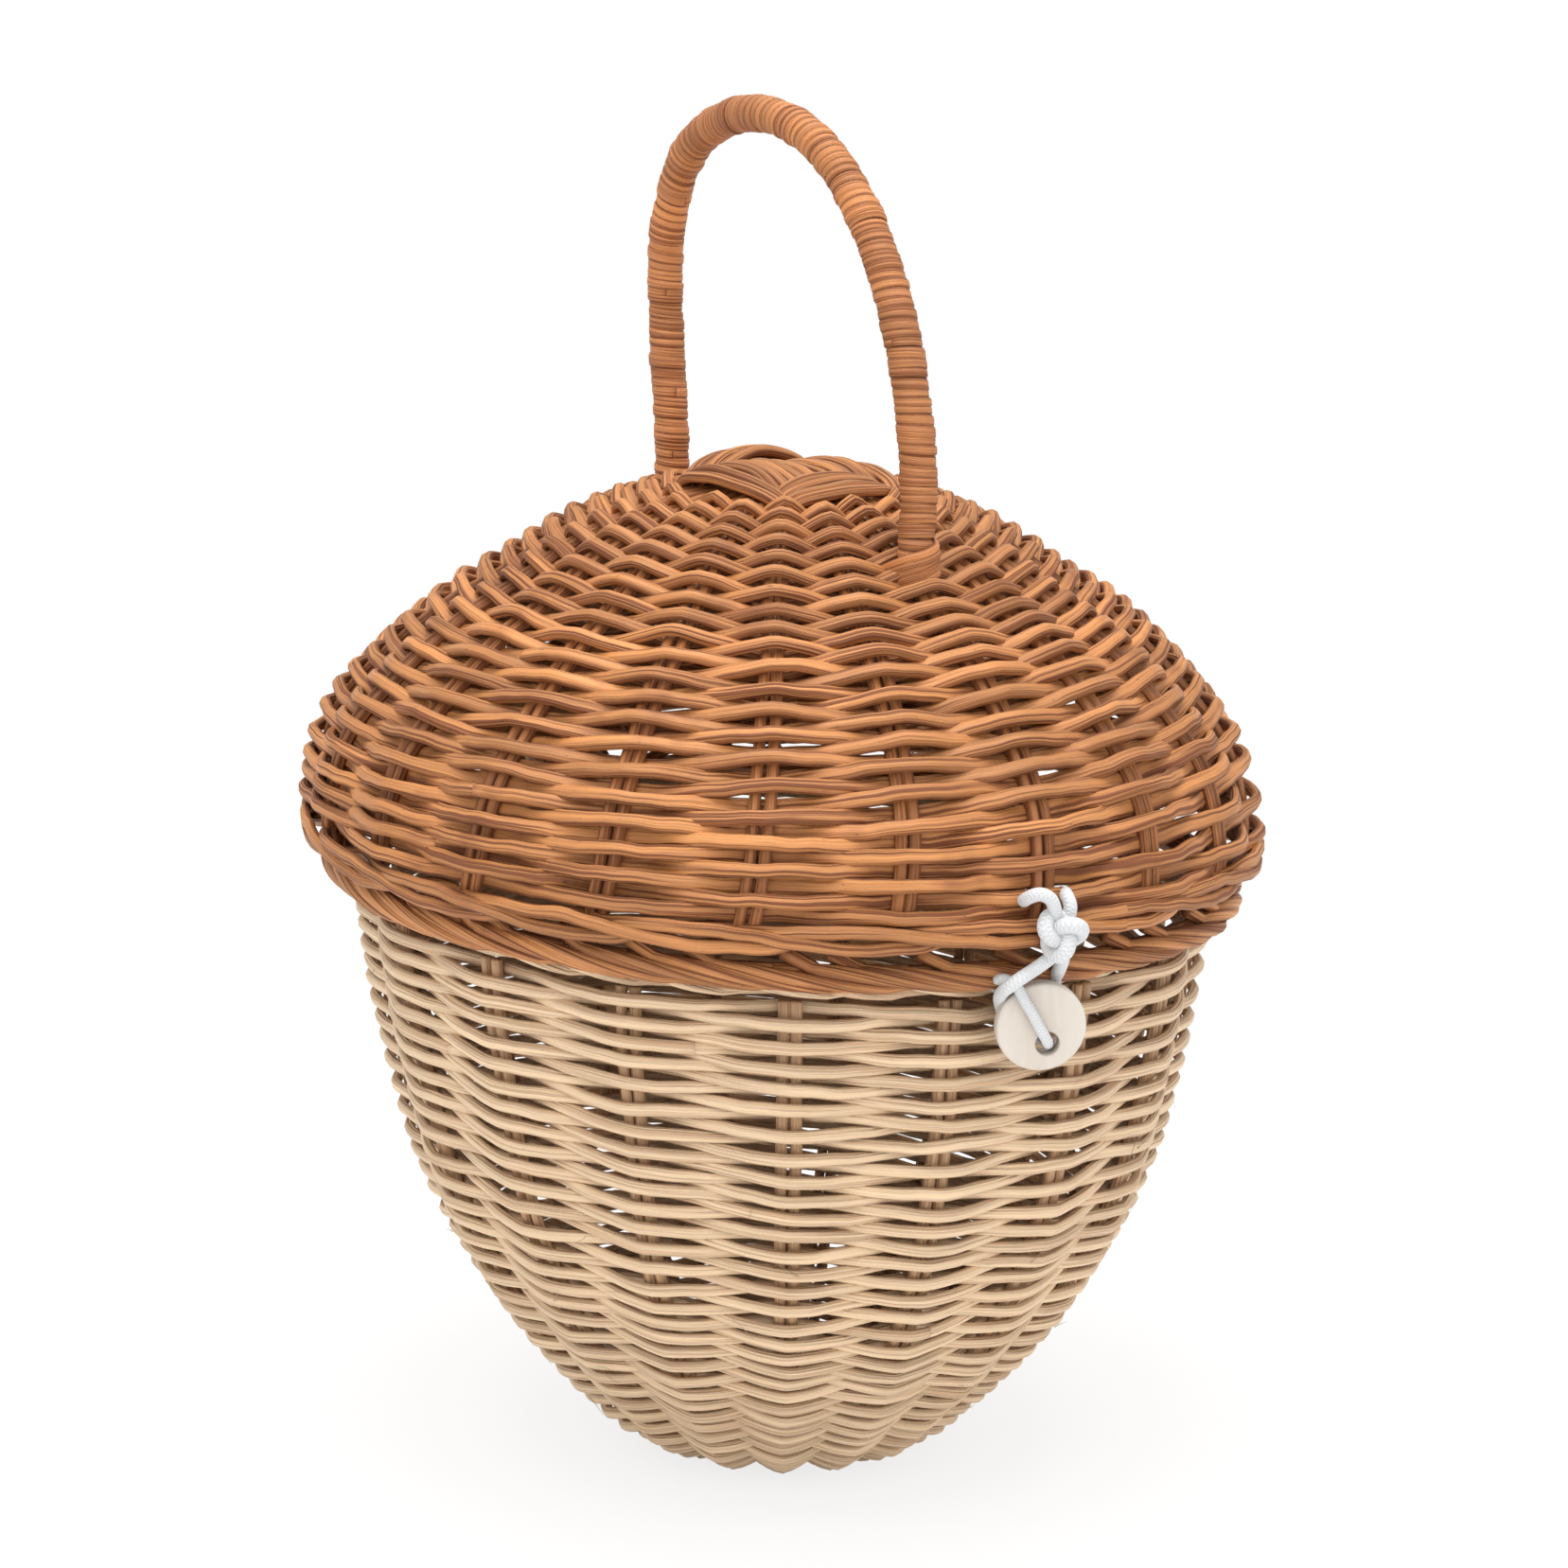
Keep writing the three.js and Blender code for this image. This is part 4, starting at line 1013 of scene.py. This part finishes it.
def turned_on_crown(x, y, quarter, lift):
    """Points and directions on the crown, from places beside its middle in a bundle's own frame."""
    turn = BUNDLE_TURN + math.pi / 2 * quarter
    c, s = math.cos(turn), math.sin(turn)
    return on_crown(x * c - y * s, x * s + y * c, lift)


class BASKET_OT_crown(bpy.types.Operator):
    """Lays the crown's four bundles, each over the end of the one before and under the start of the next"""
    bl_idname = "basket.crown"
    bl_label = "Lay the crown's bundles"

    def execute(self, context):
        canes = Canes(seed=130)
        random = np.random.default_rng(131)
        for quarter, (count, top) in enumerate(BUNDLES):
            for j in range(count):
                inner = count > 4 and j >= 2
                knots = np.array(INNER_ARCH if inner else OUTER_ARCH)
                half = 13.2 if inner else 17.0 - 0.5 * j
                s = np.linspace(knots[0, 0], knots[-1, 0], 36)
                profile = smooth_line(knots, 0.02)
                arch = np.interp(s, profile[:, 0], profile[:, 1])
                middle = 21.5 - 3.1 * j
                at_end = middle - 0.4 if inner else 16.8 - 2.0 * j
                outward = at_end + (middle - at_end) * np.clip(1 - s ** 2, 0, 1)
                outward += 0.3 * wobble(s / 1.9, 700 + quarter * 8 + j)
                sideways = s * half + random.uniform(-0.5, 0.5)
                rise = top * (1.0 + 0.07 * min(j, 2) - 0.075 * max(j - 3, 0)) + random.uniform(-0.3, 0.3)
                lift = rise * arch + 0.15 * wobble(s / 1.3, 760 + quarter * 8 + j)
                points, normal = turned_on_crown(outward, sideways, quarter, lift)
                canes.add(points, normal, 3.0 * random.uniform(0.92, 1.04), 2.5, sides=10, power=2.0)
        # the crossed middles of the bundles, which the arches leave bare
        along = np.linspace(-22, 22, 24)
        for layer in range(2):
            for j in range(CROSS_CANES):
                aside = CROSS_SPACING * (j - CROSS_CANES // 2)
                aside = aside + 0.3 * wobble(along / 25, 790 + CROSS_CANES * layer + j)
                points, normal = turned_on_crown(along, aside, layer, -1.0 - 2.2 * layer)
                canes.add(points, normal, 2.95, 2.3, power=2.0)
        canes.build("crown_bundles", "brown_weave", "lid", ["lid_crown"])
        return {"FINISHED"}


# The handle's arch from front to back, as shares of its feet's distances from the middle and of its height
HANDLE_ARCH = [
    (-0.955, 0.14), (-0.93, 0.3), (-0.83, 0.54), (-0.625, 0.77), (-0.34, 0.93), (0.0, 1.0), (0.41, 0.985),
    (0.79, 0.88), (1.0, 0.67), (1.03, 0.42), (1.0, 0.14)]
FRONT_FOOT = 50.5
BACK_FOOT = 46.6
HANDLE_HEIGHT = 84.5
HANDLE_LEAN = 2.0
FRONT_BOW = 2.4
# Half the thickness of the crown where the handle's ends pass through it
HALF_CROWN = 4.25
TURN_RINGS = 18
# The lashing at the handle's front foot: how far right, near and up each strand runs from the foot's middle
LASHINGS = 5
LASHING = ((4.0, -2.0, 1.6), (4.3, 1.4, 0.7), (2.0, 4.3, -0.3), (-1.6, 4.5, -1.5), (-4.6, 2.8, -2.9),
           (-7.2, 0.0, -4.6), (-9.0, -3.0, -6.2))
LASHING_TOP = 2.4
LASHING_STEP = 1.35


def handle_end(side, foot):
    """Where one end of the handle goes down through the crown and turns in under it."""
    surface = crown_height(foot)
    tail = surface - HALF_CROWN - 11.6
    return [(0, side * (foot - 13), tail - 1), (0, side * (foot - 6), tail),
            (0, side * foot, surface - HALF_CROWN - 3), (0, side * foot, surface + HALF_CROWN)]


def handle_line():
    """The handle's centre line from under the crown at the front to under it at the back."""
    top = crown_height(BACK_FOOT) + HALF_CROWN
    arch = [(FRONT_BOW * max(-a, 0) ** 1.5 - HANDLE_LEAN * b ** 1.3,
             a * (FRONT_FOOT if a < 0 else BACK_FOOT), top + b * HANDLE_HEIGHT) for a, b in HANDLE_ARCH]
    return evenly(smooth_line(handle_end(-1, FRONT_FOOT) + arch + handle_end(1, BACK_FOOT)[::-1]), 0.5)


def add_wrap(wrap, line, first, last, settings, random):
    """Winds the split cane round the handle's line from one of its points to another, turn beside turn."""
    run = lengths_along(line)
    starts, widths = [], []
    at = run[first]
    while at < run[last]:
        starts.append(at)
        widths.append(settings.wrap_width * random.uniform(0.7, 1.3))
        at += widths[-1] * 0.94
    starts.append(at)
    widths.append(widths[-1])
    t = np.arange((len(starts) - 1) * TURN_RINGS + 1) / TURN_RINGS
    place = np.interp(t, np.arange(len(starts)), starts)
    width = np.interp(t, np.arange(len(starts)), widths)
    tangent = unit(read_at(place, run, np.gradient(line, run, axis=0)))
    side = np.array([1.0, 0, 0])
    normal = side * np.cos(t * TURN)[:, None] - np.cross(tangent, side) * np.sin(t * TURN)[:, None]
    reach = settings.core_width / 2 + settings.wrap_thickness / 2 + 0.05
    reach = reach + 0.17 * wobble(t / 1.7, 142) + 0.16 * wobble(t / 5.5, 143)
    points = read_at(place, run, line) + normal * reach[:, None]
    ends = [0]
    while ends[-1] < len(t) - 1:
        ends.append(min(len(t) - 1, ends[-1] + int(TURN_RINGS * random.uniform(5, 13))))
    if ends[-1] - ends[-2] < TURN_RINGS:
        ends.pop(-2)
    for a, b in zip(ends[:-1], ends[1:]):
        part = slice(a, b + 1)
        wrap.add(points[part], normal[part], width[part] * 1.1, settings.wrap_thickness, power=3.0)


def add_lashing(wrap, foot, random):
    """Lays the strands that bind the handle's front foot to the crown."""
    for j in range(LASHINGS):
        points, normals = [], []
        for right, near, rise in LASHING:
            beside = right + random.uniform(-0.4, 0.4)
            up = rise + LASHING_TOP - LASHING_STEP * j
            points.append(foot + ACROSS * beside + TOWARDS * near + (0, 0, up))
            normals.append(ACROSS * right * 0.35 + TOWARDS * 3)
        strand = evenly(smooth_line(points, 0.5), 0.8)
        facing = read_at(np.linspace(0, len(normals) - 1, len(strand)), range(len(normals)), normals)
        wrap.add(strand, facing, random.uniform(1.6, 2.3), 1.1, power=2.6)


class BASKET_OT_handle(bpy.types.Operator):
    """Bends the handle's core, winds the split cane round it and lashes its front foot"""
    bl_idname = "basket.handle"
    bl_label = "Wind the handle"

    def execute(self, context):
        settings = context.scene.basket_handle
        line = handle_line()
        core = Canes(seed=140)
        core.add(evenly(line, 3.0), (1, 0, 0), settings.core_width, settings.core_width, sides=12, power=2.0)
        core.build("handle_core_cane", "handle_split", "lid", ["handle_core"])
        half = len(line) // 2
        first = np.argmin(np.abs(line[:half, 2] - crown_height(FRONT_FOOT) - 3.5))
        last = half + np.argmin(np.abs(line[half:, 2] - crown_height(BACK_FOOT) - 1.0))
        wrap = Canes(seed=144)
        random = np.random.default_rng(141)
        add_wrap(wrap, line, first, last, settings, random)
        add_lashing(wrap, line[first], random)
        wrap.build("handle_wrap_cane", "handle_split", "lid", ["handle_wrap"])
        return {"FINISHED"}


def belt_outline(distance, far_reach, near_reach):
    """A belt round two circles in their plane, with the near circle's middle at zero."""
    lean = math.asin((far_reach - near_reach) / distance)
    outline = []
    for middle, reach, start, sweep in ((distance, far_reach, -math.pi / 2 - lean, math.pi + 2 * lean),
                                        (0, near_reach, math.pi / 2 + lean, math.pi - 2 * lean)):
        around = start + sweep * np.linspace(0, 1, 18)
        outline.append(np.stack([middle + reach * np.cos(around), reach * np.sin(around)], axis=1))
    return np.vstack(outline)


class BASKET_OT_hinge_ties(bpy.types.Operator):
    """Winds the two hinge ties round both borders at the back"""
    bl_idname = "basket.hinge_ties"
    bl_label = "Wind the hinge ties"

    def execute(self, context):
        for side, tie in ((-1, "hinge_tie_left"), (1, "hinge_tie_right")):
            x = middle_of(tie).x
            lid = np.array([math.sqrt(LID_BORDER_RADIUS ** 2 - x ** 2), LID_BORDER_Z])
            body = np.array([math.sqrt(BODY_BORDER_RADIUS ** 2 - x ** 2), BODY_BORDER_Z])
            outline = belt_outline(
                np.linalg.norm(lid - body), LID_BORDER_TUBE + 1.75, BODY_BORDER_TUBE + 1.5)
            out, up = unit(lid - body)
            y = body[0] + outline[:, 0] * out - outline[:, 1] * up
            z = body[1] + outline[:, 0] * up + outline[:, 1] * out
            canes = Canes(seed=150 + side)
            for lane in (-1.1, 1.1):
                points = np.stack([np.full(len(y), x + lane), y, z], axis=1)
                canes.add(points, points - points.mean(axis=0), 2.1, 1.1, power=2.6, closed=True)
            canes.build(f"{tie}_cane", "natural_weave", "basket", [tie])
        return {"FINISHED"}


# The clasp's cords where the photograph shows them, within a few millimetres of the routes in the part's
# source. They are placed as seen, so the basket's lean isn't added to them.
LOOP_ROUTE = [
    (-3.8, -107.4, 139.3), (-5.0, -107.0, 137.0), (-6.9, -106.2, 135.3), (-9.0, -105.4, 133.8),
    (-11.9, -105.6, 132.7), (-13.4, -104.2, 131.0), (-12.4, -100.4, 128.6), (-10.1, -97.0, 125.7),
    (-6.5, -94.2, 121.1), (-3.5, -93.9, 116.5), (0.0, -93.8, 113.0), (3.7, -93.8, 111.7),
    (6.8, -94.0, 112.9), (7.6, -94.4, 116.5), (6.4, -95.0, 121.6), (3.6, -96.6, 126.2), (1.7, -99.0, 129.2),
    (-0.2, -103.0, 132.5), (-1.6, -106.0, 135.8), (-2.4, -107.2, 138.7)]
TAIL_ROUTES = [[
    (-4.2, -95.0, 145.8), (-8.0, -100.8, 147.5), (-10.2, -104.2, 148.4), (-10.4, -106.6, 149.7),
    (-9.4, -108.4, 150.4), (-7.6, -109.2, 149.4), (-6.2, -109.0, 146.9), (-5.2, -108.4, 144.1)], [
    (5.5, -95.4, 146.1), (1.7, -101.2, 147.8), (-0.5, -104.6, 148.7), (-1.8, -107.0, 148.6),
    (-2.1, -108.4, 147.4), (-2.4, -108.6, 145.4), (-3.4, -108.2, 143.1)]]
BUTTON_CORD_ROUTE = [
    (-1.9, -84.0, 124.4), (-5.8, -89.0, 126.3), (-10.1, -94.2, 128.7), (-12.6, -98.6, 130.9),
    (-12.9, -101.9, 131.9), (-10.9, -103.0, 130.8), (-9.1, -103.5, 127.7), (-7.1, -104.2, 124.3),
    (-5.3, -104.8, 120.9), (-3.7, -104.4, 118.8), (-2.2, -102.8, 117.4), (-0.8, -100.6, 116.7),
    (-0.9, -99.1, 117.1), (-2.0, -97.6, 119.0), (-3.4, -91.6, 122.0), (-3.0, -89.6, 124.6),
    (-3.0, -87.0, 125.3), (-3.0, -82.0, 125.3)]
KNOT_CENTRE = (-5.0, -109.6, 142.0)
KNOT_TURN = math.radians(-16)
KNOT_WIDTH = 1.36
KNOT_HEIGHT = 1.42
KNOT_DEPTH = 1.7
KNOT_SWELL = 1.2


def steady_normals(line):
    """A normal for each point that turns as little as it can along the line."""
    tangent = unit(np.gradient(line, axis=0))
    normals = [unit(np.cross(tangent[0], (0.3, 0.5, 0.8)))]
    for t in tangent[1:]:
        normals.append(unit(normals[-1] - t * normals[-1].dot(t)))
    return np.array(normals)


def add_cord(canes, route, width):
    line = evenly(smooth_line(route), 0.7)
    canes.add(line, steady_normals(line), width, width, sides=12, power=2.0)


def knot_line():
    """The knot's own turns, an overhand knot drawn tight."""
    points = []
    for t in np.linspace(0.1, TURN + 0.1, 61):
        x = math.sin(t) + 2 * math.sin(2 * t)
        z = math.cos(t) - 2 * math.cos(2 * t)
        u = (x * math.cos(KNOT_TURN) - z * math.sin(KNOT_TURN)) * KNOT_WIDTH
        v = (x * math.sin(KNOT_TURN) + z * math.cos(KNOT_TURN)) * KNOT_HEIGHT
        points.append(KNOT_CENTRE + ACROSS * u - TOWARDS * KNOT_DEPTH * math.sin(3 * t) + (0, 0, v))
    return points


class BASKET_OT_elastic(bpy.types.Operator):
    """Lays the elastic loop with its knot and its two tails into the lid"""
    bl_idname = "basket.elastic"
    bl_label = "Lay the elastic loop"

    def execute(self, context):
        width = context.scene.basket_clasp.elastic_width
        canes = Canes(seed=160)
        for route in (LOOP_ROUTE, *TAIL_ROUTES):
            add_cord(canes, route, width)
        add_cord(canes, knot_line(), width * KNOT_SWELL)
        canes.build("elastic_cord", "braided_elastic", "lid", ["elastic_loop"],
                    leaning=False)
        return {"FINISHED"}


class BASKET_OT_button_cord(bpy.types.Operator):
    """Threads the button's cord over its face and through its hole"""
    bl_idname = "basket.button_cord"
    bl_label = "Thread the button's cord"

    def execute(self, context):
        canes = Canes(seed=170)
        add_cord(canes, BUTTON_CORD_ROUTE, context.scene.basket_clasp.cord_width)
        canes.build("button_cord_elastic", "braided_elastic", "basket", ["button_cord"],
                    leaning=False)
        return {"FINISHED"}


BUTTON_CENTRE = (-3.9, -102.3, 121.4)
BUTTON_RADIUS = 9.25
BUTTON_THICKNESS = 3.4
BUTTON_EDGE = 0.95
BUTTON_LEAN = math.radians(3)
BUTTON_TURN = math.radians(-24)
HOLE_RADIUS = 2.5
HOLE_PLACE = (1.35, -3.5)
HOLE_EDGE = 0.25


def deselect_all():
    if bpy.context.object is not None and bpy.context.object.mode != "OBJECT":
        bpy.ops.object.mode_set(mode="OBJECT")
    bpy.ops.object.select_all(action="DESELECT")


class BASKET_OT_button(bpy.types.Operator):
    """Turns the wooden button with its rounded edge and drills its hole"""
    bl_idname = "basket.button"
    bl_label = "Turn the button"

    def execute(self, context):
        deselect_all()
        bpy.ops.mesh.primitive_cylinder_add(
            vertices=96, radius=BUTTON_RADIUS * MM, depth=BUTTON_THICKNESS * MM)
        disc = context.object
        disc.name = "button_disc"
        bpy.ops.object.mode_set(mode="EDIT")
        bpy.ops.mesh.select_all(action="DESELECT")
        mesh = bmesh.from_edit_mesh(disc.data)
        for edge in mesh.edges:
            edge.select = len(edge.link_faces) == 2 and any(abs(f.normal.z) > 0.9 for f in edge.link_faces)
        bmesh.update_edit_mesh(disc.data)
        bpy.ops.mesh.bevel(offset=BUTTON_EDGE * MM, segments=6, profile=0.6, affect="EDGES")
        deselect_all()
        bpy.ops.mesh.primitive_cylinder_add(
            vertices=48, radius=HOLE_RADIUS * MM, depth=2.5 * BUTTON_THICKNESS * MM,
            location=(HOLE_PLACE[0] * MM, HOLE_PLACE[1] * MM, 0))
        drill = context.object
        deselect_all()
        disc.select_set(True)
        context.view_layer.objects.active = disc
        cut = disc.modifiers.new("hole", "BOOLEAN")
        cut.operation = "DIFFERENCE"
        cut.object = drill
        cut.solver = "EXACT"
        bpy.ops.object.modifier_apply(modifier="hole")
        bpy.data.objects.remove(drill)
        mouth = disc.modifiers.new("worn_mouth", "BEVEL")
        mouth.width = HOLE_EDGE * MM
        mouth.segments = 3
        mouth.limit_method = "ANGLE"
        mouth.angle_limit = math.radians(50)
        bpy.ops.object.modifier_apply(modifier="worn_mouth")
        disc.data.transform(
            Matrix.Translation(Vector(BUTTON_CENTRE) * MM) @ Matrix.Rotation(BUTTON_TURN, 4, "Z")
            @ Matrix.Rotation(math.pi / 2 + BUTTON_LEAN, 4, "X"))
        bpy.ops.object.shade_smooth_by_angle(angle=math.radians(35))
        settled(disc, "turned_wood", "button", ["button"])
        deselect_all()
        return {"FINISHED"}


# How far out from the wall a loose hair starts, and how many points it has
HAIR_START = 3.5
HAIR_POINTS = 7


class BASKET_OT_fibres(bpy.types.Operator):
    """Frays a few loose hairs from the canes of the body and the lid"""
    bl_idname = "basket.fibres"
    bl_label = "Fray loose fibres"

    def execute(self, context):
        random = np.random.default_rng(180)
        along = np.linspace(0, 1, HAIR_POINTS)
        body, lid = body_wall(), lid_wall()
        for name, material, rides, slot, wall, outward, low, high in (
                ("body_fibres", "natural_weave", "basket", "natural_cane", body, 1, 40, body.length - 12),
                ("lid_fibres", "brown_weave", "lid", "brown_cane", lid, -1, 8, 90)):
            canes = Canes(seed=181)
            for _ in range(context.scene.basket_weave.fibres):
                s = random.uniform(low, high)
                azimuth = random.uniform(0, TURN)
                step = random.uniform(3, 9) / (HAIR_POINTS - 1)
                heading = random.uniform(-1.2, 1.2) + (math.pi if random.random() < 0.5 else 0)
                turn = heading + random.uniform(-1.0, 1.0) * along[:-1]
                climb = np.concatenate([[0], np.cumsum(np.sin(turn) * step)])
                drift = np.concatenate([[0], np.cumsum(np.cos(turn) * step)]) / float(wall.radius_at(s))
                out = HAIR_START + along ** 1.5 * random.uniform(0.2, 1.6)
                points, normal = wall.place(s + climb, azimuth + drift, out, outward)
                thick = random.uniform(0.14, 0.26) * (1 - 0.75 * along)
                canes.add(points, normal, thick, thick, sides=3, power=2.0)
            canes.build(name, material, rides)
        return {"FINISHED"}


# The stage

# Each lamp's distance towards the camera, to the right and up, its size in metres and its power in watts
LAMPS = {
    "key_lamp": (1.1, -0.8, 1.25, 1.3, 8.5),
    "fill_lamp": (1.2, 1.0, 0.6, 1.5, 7),
    "top_lamp": (0.1, 0, 1.5, 1.2, 18.5),
}
LAMP_COLOUR = (1.0, 0.99, 0.975)
LIT_HEIGHT = 0.15
FLOOR_COLOUR = (0.93, 0.93, 0.93, 1.0)
WORLD_COLOUR = (1.0, 0.995, 0.985, 1.0)
WORLD_STRENGTH = 0.78
WHITE = (1.0, 1.0, 1.0, 1.0)


def lay_floor(context):
    """Lays a pale floor that keeps the basket's shadow and fades into the white backdrop away from it."""
    bpy.ops.mesh.primitive_plane_add(size=8, location=(0, 0, 0))
    floor = context.object
    floor.name = "stage_floor"
    material, w, shader, out = new_material("pale_floor")
    glow = w.node("ShaderNodeEmission")
    rays = w.node("ShaderNodeLightPath").outputs
    seen = w.maths("MAXIMUM", rays["Is Camera Ray"], rays["Is Glossy Ray"])
    seen = w.maths("MAXIMUM", seen, rays["Is Transmission Ray"])
    reach = w.node("ShaderNodeVectorMath", operation="LENGTH")
    w.feed((reach.inputs[0], w.object_place()))
    fade = w.ranged(reach.outputs["Value"], 0.1, 0.42, 0.8, 1.0)
    mix = w.node("ShaderNodeMixShader")
    w.feed((shader.inputs["Base Color"], FLOOR_COLOUR), (shader.inputs["Roughness"], 0.9),
           (shader.inputs["Specular IOR Level"], 0.1), (glow.inputs["Color"], WHITE),
           (glow.inputs["Strength"], 1.0), (mix.inputs[0], w.times(seen, fade)),
           (mix.inputs[1], shader.outputs[0]),
           (mix.inputs[2], glow.outputs[0]), (out.inputs[0], mix.outputs[0]))
    floor.data.materials.append(material)


def light_world(scene):
    """A white backdrop to the camera, and a softer, warmer light to the basket."""
    world = bpy.data.worlds.new("studio")
    scene.world = world
    world.use_nodes = True
    world.node_tree.nodes.clear()
    w = Wiring(world.node_tree)
    rays = w.node("ShaderNodeLightPath").outputs
    soft = w.node("ShaderNodeBackground")
    backdrop = w.node("ShaderNodeBackground")
    mix = w.node("ShaderNodeMixShader")
    w.feed((soft.inputs["Color"], WORLD_COLOUR), (soft.inputs["Strength"], WORLD_STRENGTH),
           (backdrop.inputs["Color"], WHITE), (backdrop.inputs["Strength"], 1.0),
           (mix.inputs[0], w.maths("MAXIMUM", rays["Is Camera Ray"], rays["Is Transmission Ray"])),
           (mix.inputs[1], soft.outputs[0]), (mix.inputs[2], backdrop.outputs[0]),
           (w.node("ShaderNodeOutputWorld").inputs[0], mix.outputs[0]))


def hang_lamps(scene, towards, right):
    for name, (near, aside, up, size, power) in LAMPS.items():
        lamp = bpy.data.lights.new(name, "AREA")
        lamp.shape = "SQUARE"
        lamp.size = size
        lamp.energy = power
        lamp.color = LAMP_COLOUR
        holder = bpy.data.objects.new(name, lamp)
        scene.collection.objects.link(holder)
        holder.location = towards * near + right * aside + Vector((0, 0, up))
        aim = Vector((0, 0, LIT_HEIGHT)) - holder.location
        holder.rotation_euler = aim.to_track_quat("-Z", "Y").to_euler()


def set_camera(scene, stage, towards):
    camera = bpy.data.cameras.new("camera")
    camera.lens = stage.lens
    camera.sensor_width = 36
    camera.clip_start = 0.01
    camera.clip_end = 20
    holder = bpy.data.objects.new("camera", camera)
    scene.collection.objects.link(holder)
    holder.location = towards * stage.distance + Vector((0, 0, stage.height))
    facing = -towards * math.cos(stage.pitch) - Vector((0, 0, math.sin(stage.pitch)))
    level = facing.to_track_quat("-Z", "Y").to_matrix().to_4x4()
    holder.rotation_euler = (Matrix.Rotation(-stage.roll, 4, facing) @ level).to_euler()
    scene.camera = holder
    scene.view_settings.view_transform = "Standard"


class BASKET_OT_stage(bpy.types.Operator):
    """Lays the floor and sets the lamps, the world and the camera"""
    bl_idname = "basket.stage"
    bl_label = "Set the stage"

    def execute(self, context):
        stage = context.scene.basket_stage
        towards = Vector((math.sin(stage.azimuth), -math.cos(stage.azimuth), 0))
        right = Vector((math.cos(stage.azimuth), math.sin(stage.azimuth), 0))
        deselect_all()
        lay_floor(context)
        deselect_all()
        light_world(context.scene)
        hang_lamps(context.scene, towards, right)
        set_camera(context.scene, stage, towards)
        return {"FINISHED"}


GROUPS = {
    "basket_weave": BasketWeave,
    "basket_handle": BasketHandle,
    "basket_clasp": BasketClasp,
    "basket_colours": BasketColours,
    "basket_stage": BasketStage,
}
OPERATORS = (
    BASKET_OT_stage,
    BASKET_OT_elastic,
    BASKET_OT_button_cord,
    BASKET_OT_button,
    BASKET_OT_body_rows,
    BASKET_OT_body_stakes,
    BASKET_OT_base,
    BASKET_OT_body_border,
    BASKET_OT_lid_rows,
    BASKET_OT_lid_stakes,
    BASKET_OT_lid_rim,
    BASKET_OT_lid_border,
    BASKET_OT_crown,
    BASKET_OT_handle,
    BASKET_OT_hinge_ties,
    BASKET_OT_fibres,
)


class BASKET_PT_panel(bpy.types.Panel):
    """Lists the basket's pieces and settings"""
    bl_label = "Basket"
    bl_idname = "BASKET_PT_panel"
    bl_space_type = "VIEW_3D"
    bl_region_type = "UI"
    bl_category = "Basket"

    def draw(self, context):
        for name in GROUPS:
            group = getattr(context.scene, name)
            box = self.layout.box()
            for setting in group.bl_rna.properties.keys():
                if setting not in ("rna_type", "name"):
                    box.prop(group, setting)
        for operator in OPERATORS:
            self.layout.operator(operator.bl_idname)


def register():
    for name, group in GROUPS.items():
        bpy.utils.register_class(group)
        setattr(bpy.types.Scene, name, PointerProperty(type=group))
    for operator in OPERATORS:
        bpy.utils.register_class(operator)
    bpy.utils.register_class(BASKET_PT_panel)


def unregister():
    bpy.utils.unregister_class(BASKET_PT_panel)
    for operator in reversed(OPERATORS):
        bpy.utils.unregister_class(operator)
    for name, group in GROUPS.items():
        delattr(bpy.types.Scene, name)
        bpy.utils.unregister_class(group)


def main():
    register()
    bpy.ops.basket.stage()
    bpy.ops.basket.elastic()
    bpy.ops.basket.button_cord()
    bpy.ops.basket.button()
    bpy.ops.basket.body_rows()
    bpy.ops.basket.body_stakes()
    bpy.ops.basket.base()
    bpy.ops.basket.body_border()
    bpy.ops.basket.lid_rows()
    bpy.ops.basket.lid_stakes()
    bpy.ops.basket.lid_rim()
    bpy.ops.basket.lid_border()
    bpy.ops.basket.crown()
    bpy.ops.basket.handle()
    bpy.ops.basket.hinge_ties()
    bpy.ops.basket.fibres()


if __name__ == "__main__":
    main()
